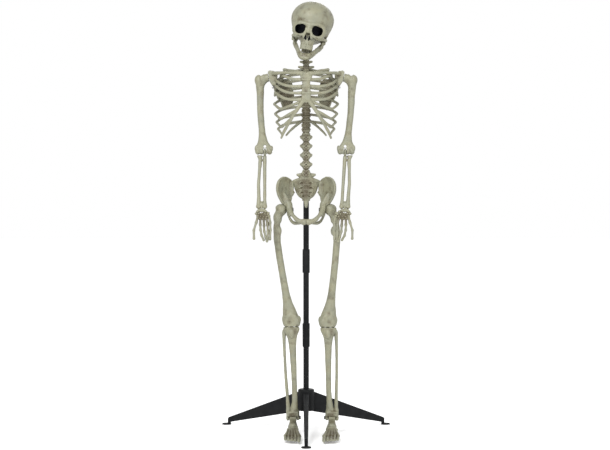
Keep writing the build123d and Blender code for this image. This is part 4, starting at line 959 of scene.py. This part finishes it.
def build_hand(name, side):
    wrist = np.array(WRIST[name], float)
    spread = 1.2 if side > 0 else 1.0

    def place(outward, forward, down):
        return wrist + (side * outward * (spread if outward < 0 else 1), -forward, -down)

    clay = Clay(wrist - (44, 44, 112), wrist + (44, 14, 12), 0.8, seed=90, lumps=0.25)
    put = clay.put
    for ear in (-1, 1):
        put(limb([wrist + (ear * 7.6, 0, 0), wrist + (ear * 10.4, 0, 0)], 5.6, X, 1.3), 1)
        put(limb([wrist + (ear * 8.75, 0, -1), wrist + (ear * 9, 0, -10)], 4.4, X, 1.3), 2)
    put(brick(place(-5, 0, 18), (18, 4.2, 8.5), 3), 2)
    for outward, down in CARPALS:
        put(egg(place(outward, 1.5, down), (5.4, 6.4, 4.9)), 0.7)
    for joints in FINGERS:
        points = [place(*joint) for joint in joints]
        for number, (near, far) in enumerate(zip(points, points[1:])):
            run = far - near
            size = 1.0 if number == 0 else 0.88
            stops = [near + run * t for t in (0.04, 0.22, 0.55, 0.8, 0.96)]
            put(limb(stops, [5.6 * size, 4.6 * size, 4.1 * size, 4.6 * size, 5.4 * size]), 0.7)
        put(egg(points[-1] - unit(points[-1] - points[-2]), (3.2, 3.2, 3.6)), 1)
    # darker over the wrist bones and the palm
    stains_and_shade = [(place(-3, 4, 18), 22, 0.26), (place(-8, 8, 50), 30, 0.16)]
    clay.cast(f"hand_bones_{name}", f"hand_{name}", [f"hand_{name}"], stains_and_shade=stains_and_shade)


# ---------------------------------------------------------------- legs
# The same kind of tables as for the arms.
FEMUR_SHAFT = (
    (-0.01, -3, 0, 8, 10), (0.03, 0, 0, 12, 13.5), (0.08, 2.5, 0, 12.6, 13), (0.2, 7.5, -2, 12, 13),
    (0.4, 7.5, -4, 12, 12.6), (0.6, 6, -4, 12.2, 12.6), (0.72, 5, -3, 13.6, 13.2), (0.8, 3.5, -2, 16, 14),
    (0.88, 1.5, -1, 23, 15.5), (0.96, 0, 0, 29, 17),
)
TIBIA = (
    (0.0575, 1, 0, 28, 15.5), (0.068, 1, 0, 30, 17), (0.10, 1, 0, 27, 16.5), (0.13, 0.5, 0, 21, 15),
    (0.17, -1, 0, 16, 13.5), (0.24, -2, -1, 13.2, 12), (0.35, -3.5, -1, 11.4, 11),
    (0.47, -5, -1, 10, 10.4), (0.7, -7, 0, 9, 9.4), (0.84, -6.6, 0, 10, 9.8), (0.92, -4.5, 0, 14.5, 11.8),
    (0.95, -3, 0, 17, 13), (0.978, -1.5, 0, 17, 13.4),
)
FIBULA = (
    (0.082, 25, 3, 6, 6.5), (0.1, 26.5, 3, 8, 7.6), (0.14, 27, 3.5, 6.5, 6.2), (0.25, 27, 4, 5.2, 5.4),
    (0.45, 25, 4, 4.8, 5.2), (0.6, 22.5, 4, 5.2, 5.2), (0.8, 18, 2, 5.8, 6), (0.93, 15.5, 0, 7.5, 8),
)


def build_femur(name, side):
    hip, top, knee = (np.array(p[name], float) for p in (HIP, THIGH_TOP, KNEE))
    low_x, high_x = min(knee[0], hip[0], top[0]) - 38, max(knee[0], hip[0], top[0]) + 38
    clay = Clay((low_x, -14, 368), (high_x, 46, 814), 1.2, seed=100, lumps=0.5)
    put, cut = clay.put, clay.cut
    put(egg(hip, [21] * 3), 1)
    put(limb([hip + (side * 4, 0, -2), (side * 100, 15, 752)], [14.5, 13.5]), 7)
    put(egg((side * 101.5, 15, 757), (10.5, 13.5, 17), (0, side * 26, 0)), 8)
    put(egg((side * 93.5, 13, 713), (7.5, 10, 15)), 7)
    put(lofted(side, top, knee, FEMUR_SHAFT, 6), 5)
    for lobe in (-1, 1):
        put(egg((knee[0] + lobe * 18.5, 15, knee[2]), (13.2, 19.8, 20)), 4)
        put(egg((knee[0] + lobe * 27, 16, knee[2] + 9), (6, 9, 10)), 5)
    cut(brick((knee[0], 15, knee[2] - 5), (6.6, 30, 21), 1.5), 1)
    put(limb([(knee[0] - 15, 1, knee[2] + 5), (knee[0] + 15, 1, knee[2] + 5)], [6, 6], Y, 1.5), 5)
    put(egg((knee[0], -0.5, knee[2] + 16), (19, 5.5, 13)), 5)
    put(brick((knee[0], -0.6, knee[2] - 3.5), (17, 3.1, 12.5), 3), 3)
    cut(egg((knee[0], -13, knee[2] + 16), (6, 7, 16)), 5)
    cut(disc(knee, X, 12, 6.6), 1)
    cut(limb([hip + (side * 17, 0, 0), hip + (side * 40, 0, 0)], 9.2), 1)
    face, neck_bottom = side * 67.5, 740

    def outside_pelvis(x, y, z):
        return np.where(z > neck_bottom, side * (face - x), -FAR)

    clay.cast(f"femur_bone_{name}", f"thigh_{name}", [f"femur_{name}"], keep=outside_pelvis)


def build_shin(name, side):
    knee, ankle = np.array(KNEE[name], float), np.array(ANKLE[name], float)
    low_x, high_x = min(knee[0], ankle[0]) - 42, max(knee[0], ankle[0]) + 42
    clay = Clay((low_x, -12, 42), (high_x, 42, 412), 1.1, seed=110, lumps=0.45)
    put, cut = clay.put, clay.cut
    put(lofted(side, knee, ankle, TIBIA), 3)
    put(egg((knee[0], -1, knee[2] - 44), (8, 5, 13)), 6)
    inner = [(ankle[0] - side * 16, 15, ankle[2] + 18), (ankle[0] - side * 17.6, 15, ankle[2] - 1)]
    outer = [(ankle[0] + side * 17, 15, ankle[2] + 26), (ankle[0] + side * 17.8, 15, ankle[2] - 3)]
    put(limb(inner, [9, 8.4], X, 1.35), 4)
    put(limb(outer, [8.5, 8], X, 1.3), 3)
    put(lofted(side, knee, ankle, FIBULA), 2.5)
    put(brick((ankle[0], 7, ankle[2] + 14), (20, 7.5, 9), 4), 4)
    cut(disc(ankle, X, 12.4, 12.6), 1)
    cut(brick((ankle[0], 15, ankle[2] - 12), (12.6, 30, 12.5), 1), 1)
    put(limb([(knee[0] - 14, 4, knee[2] - 20.5), (knee[0] + 14, 4, knee[2] - 20.5)], 3.4), 3)
    put(limb([(knee[0] - 0.2, 15, knee[2]), (knee[0] + 0.2, 15, knee[2])], 10.8, X, 1.85), 1)
    put(limb([knee, knee - (0, 0, 24)], 8, X, 1.4), 2)
    # darker at the front of the ankle and below the knee
    stains_and_shade = [((ankle[0], 2, ankle[2] + 4), 16, 0.3), ((knee[0], 0, knee[2] - 26), 12, 0.14)]
    clay.cast(f"shin_bones_{name}", f"shin_{name}", [f"shin_{name}"], stains_and_shade=stains_and_shade)


TOE_IN = {"right": 0.012, "left": 0.035}
TARSALS = ((-12, 48, -31, 8), (-2, 50, -29, 8), (8, 49, -32, 8), (14, 38, -36, 8), (-9, 32, -29, 9))
TOE_STOPS = (0, 0.12, 0.3, 0.5, 0.62, 0.76, 0.9, 1.0)
TOE_SIZES = (5.6, 4.2, 3.6, 4.9, 3.9, 4.6, 4.4, 3.4)


def build_foot(name, side):
    ankle = np.array(ANKLE[name], float)

    def place(x, forward, z):
        return ankle + (x - TOE_IN[name] * forward, -forward, z - 0.03 * forward)

    clay = Clay((ankle[0] - 46, -202, 5), (ankle[0] + 46, 62, 78), 1.05, seed=120, lumps=0.35)
    put, cut = clay.put, clay.cut
    put(egg(place(0, -24, -34), (13, 17, 15)), 4)
    put(egg(place(0, -36, -38), (10, 8, 9)), 6)
    put(limb([place(0, -18, -26), place(0, 10, -20), place(-side * 1, 36, -24)], [12, 13, 12]), 7)
    put(disc(ankle, X, 11.2, 11.6, 2), 1)
    put(brick(ankle + (0, 0, -13), (11.4, 9, 12), 4), 4)
    for x, forward, z, size in TARSALS:
        put(egg(place(side * x, forward, z), (size, size, size * 0.85)), 2)
    put(egg(place(0, 18, -30), (17, 25, 13)), 5)
    put(egg(place(0, 48, -35), (19, 28, 9)), 5)
    put(egg(place(0, 150, -43.5), (25, 50, 3.4)), 1)
    for toe in range(5):
        root = -side * (9.5 - 5.6 * toe)
        knuckle = -side * (23.5 - 11.8 * toe)
        tip = -side * (24 - 11.7 * toe)
        big = 1.3 if toe == 0 else 1.0
        reach = 206 if toe == 0 else 204 - 6 * toe
        front = 132 - 2.5 * toe
        arch = (place(root, 46, -31 - toe * 0.6), place((root + knuckle) / 2, 84, -34 - toe * 0.5),
            place(knuckle, front, -40))
        put(limb([arch[0], (arch[0] + arch[1]) / 2, arch[1], (arch[1] + arch[2]) / 2, arch[2]],
            [6.4, 5.0, 4.5 * big, 4.6 * big, 5.8 * big]), 1.4)
        stops = [place(knuckle + (tip - knuckle) * t, front + (reach - front) * t, -41 - t) for t in TOE_STOPS]
        put(limb(stops, [size * big for size in TOE_SIZES]), 0.9)
    put(stack([(z, ankle[0] - 2 * side, -62, 21, 47) for z in (ankle[2] - 46.5, ankle[2] - 40)], 2), 3)
    cut(brick(place(0, 70, -52), (60, 90, 4.5), 2), 2)
    # darker from the instep down to the toes
    stains_and_shade = [(place(0, 20, -20), 16, 0.2), (place(0, 80, -36), 30, 0.12), (place(0, 124, -45), 30, 0.22),
        (place(0, 165, -46), 26, 0.22)]
    clay.cast(f"foot_bones_{name}", f"foot_{name}", [f"foot_{name}"], stains_and_shade=stains_and_shade)


# ---------------------------------------------------------------- studio
def area_light(name, place, aim, size, power):
    light = bpy.data.lights.new(name, "AREA")
    light.shape, light.size, light.energy = "DISK", size, power
    lamp = bpy.data.objects.new(name, light)
    lamp.location = place
    lamp.rotation_euler = (Vector(aim) - Vector(place)).to_track_quat("-Z", "Y").to_euler()
    bpy.context.scene.collection.objects.link(lamp)


FLOOR_REACH = 60.0  # metres, so that its edge lies beyond every view
CAMERA_AT, LENS, SENSOR_WIDTH = (-0.004, -4.498, 0.734), 76.1, 36.0
# Each light: name, place, the point that it faces, size in metres, power in watts.
LIGHTS = (
    ("key", (-1.4, -3.9, 3.4), (0, 0, 0.8), 1.6, 200),
    ("fill", (2.6, -3.2, 1.4), (0, 0, 0.8), 2.0, 45),
    ("back", (0.6, 3.4, 2.8), (0, 0, 1.0), 2.0, 25),
)


def build_studio():
    scene = bpy.context.scene
    mesh = bpy.data.meshes.new("floor")
    corners = [(a * FLOOR_REACH, b * FLOOR_REACH, 0) for a, b in ((-1, -1), (1, -1), (1, 1), (-1, 1))]
    mesh.from_pydata(corners, [], [(0, 1, 2, 3)])
    floor = bpy.data.objects.new("floor", mesh)
    scene.collection.objects.link(floor)
    material, _, shader = new_material("floor")
    shader.inputs["Base Color"].default_value = (0.86, 0.86, 0.86, 1)
    shader.inputs["Roughness"].default_value = 0.9
    shader.inputs["Emission Color"].default_value = (1, 1, 1, 1)
    shader.inputs["Emission Strength"].default_value = 0.2
    mesh.materials.append(material)
    world = bpy.data.worlds.new("studio")
    world.use_nodes = True
    sky = world.node_tree.nodes["Background"]
    sky.inputs["Color"].default_value = (1, 1, 1, 1)
    sky.inputs["Strength"].default_value = 1.0
    scene.world = world
    scene.view_settings.view_transform = "Standard"
    for light in LIGHTS:
        area_light(*light)
    camera = bpy.data.cameras.new("camera")
    camera.lens, camera.sensor_width = LENS, SENSOR_WIDTH
    holder = bpy.data.objects.new("camera", camera)
    holder.location = CAMERA_AT
    holder.rotation_euler = (math.pi / 2, 0, 0)
    scene.collection.objects.link(holder)
    scene.camera = holder


dress_cad()
build_skull()
build_jaw()
build_neck()
build_lumbar()
build_sacrum()
build_pelvis()
build_chest()
for limb_name, limb_side in SIDES.items():
    build_humerus(limb_name, limb_side)
    build_forearm(limb_name, limb_side)
    build_hand(limb_name, limb_side)
    build_femur(limb_name, limb_side)
    build_shin(limb_name, limb_side)
    build_foot(limb_name, limb_side)
build_studio()
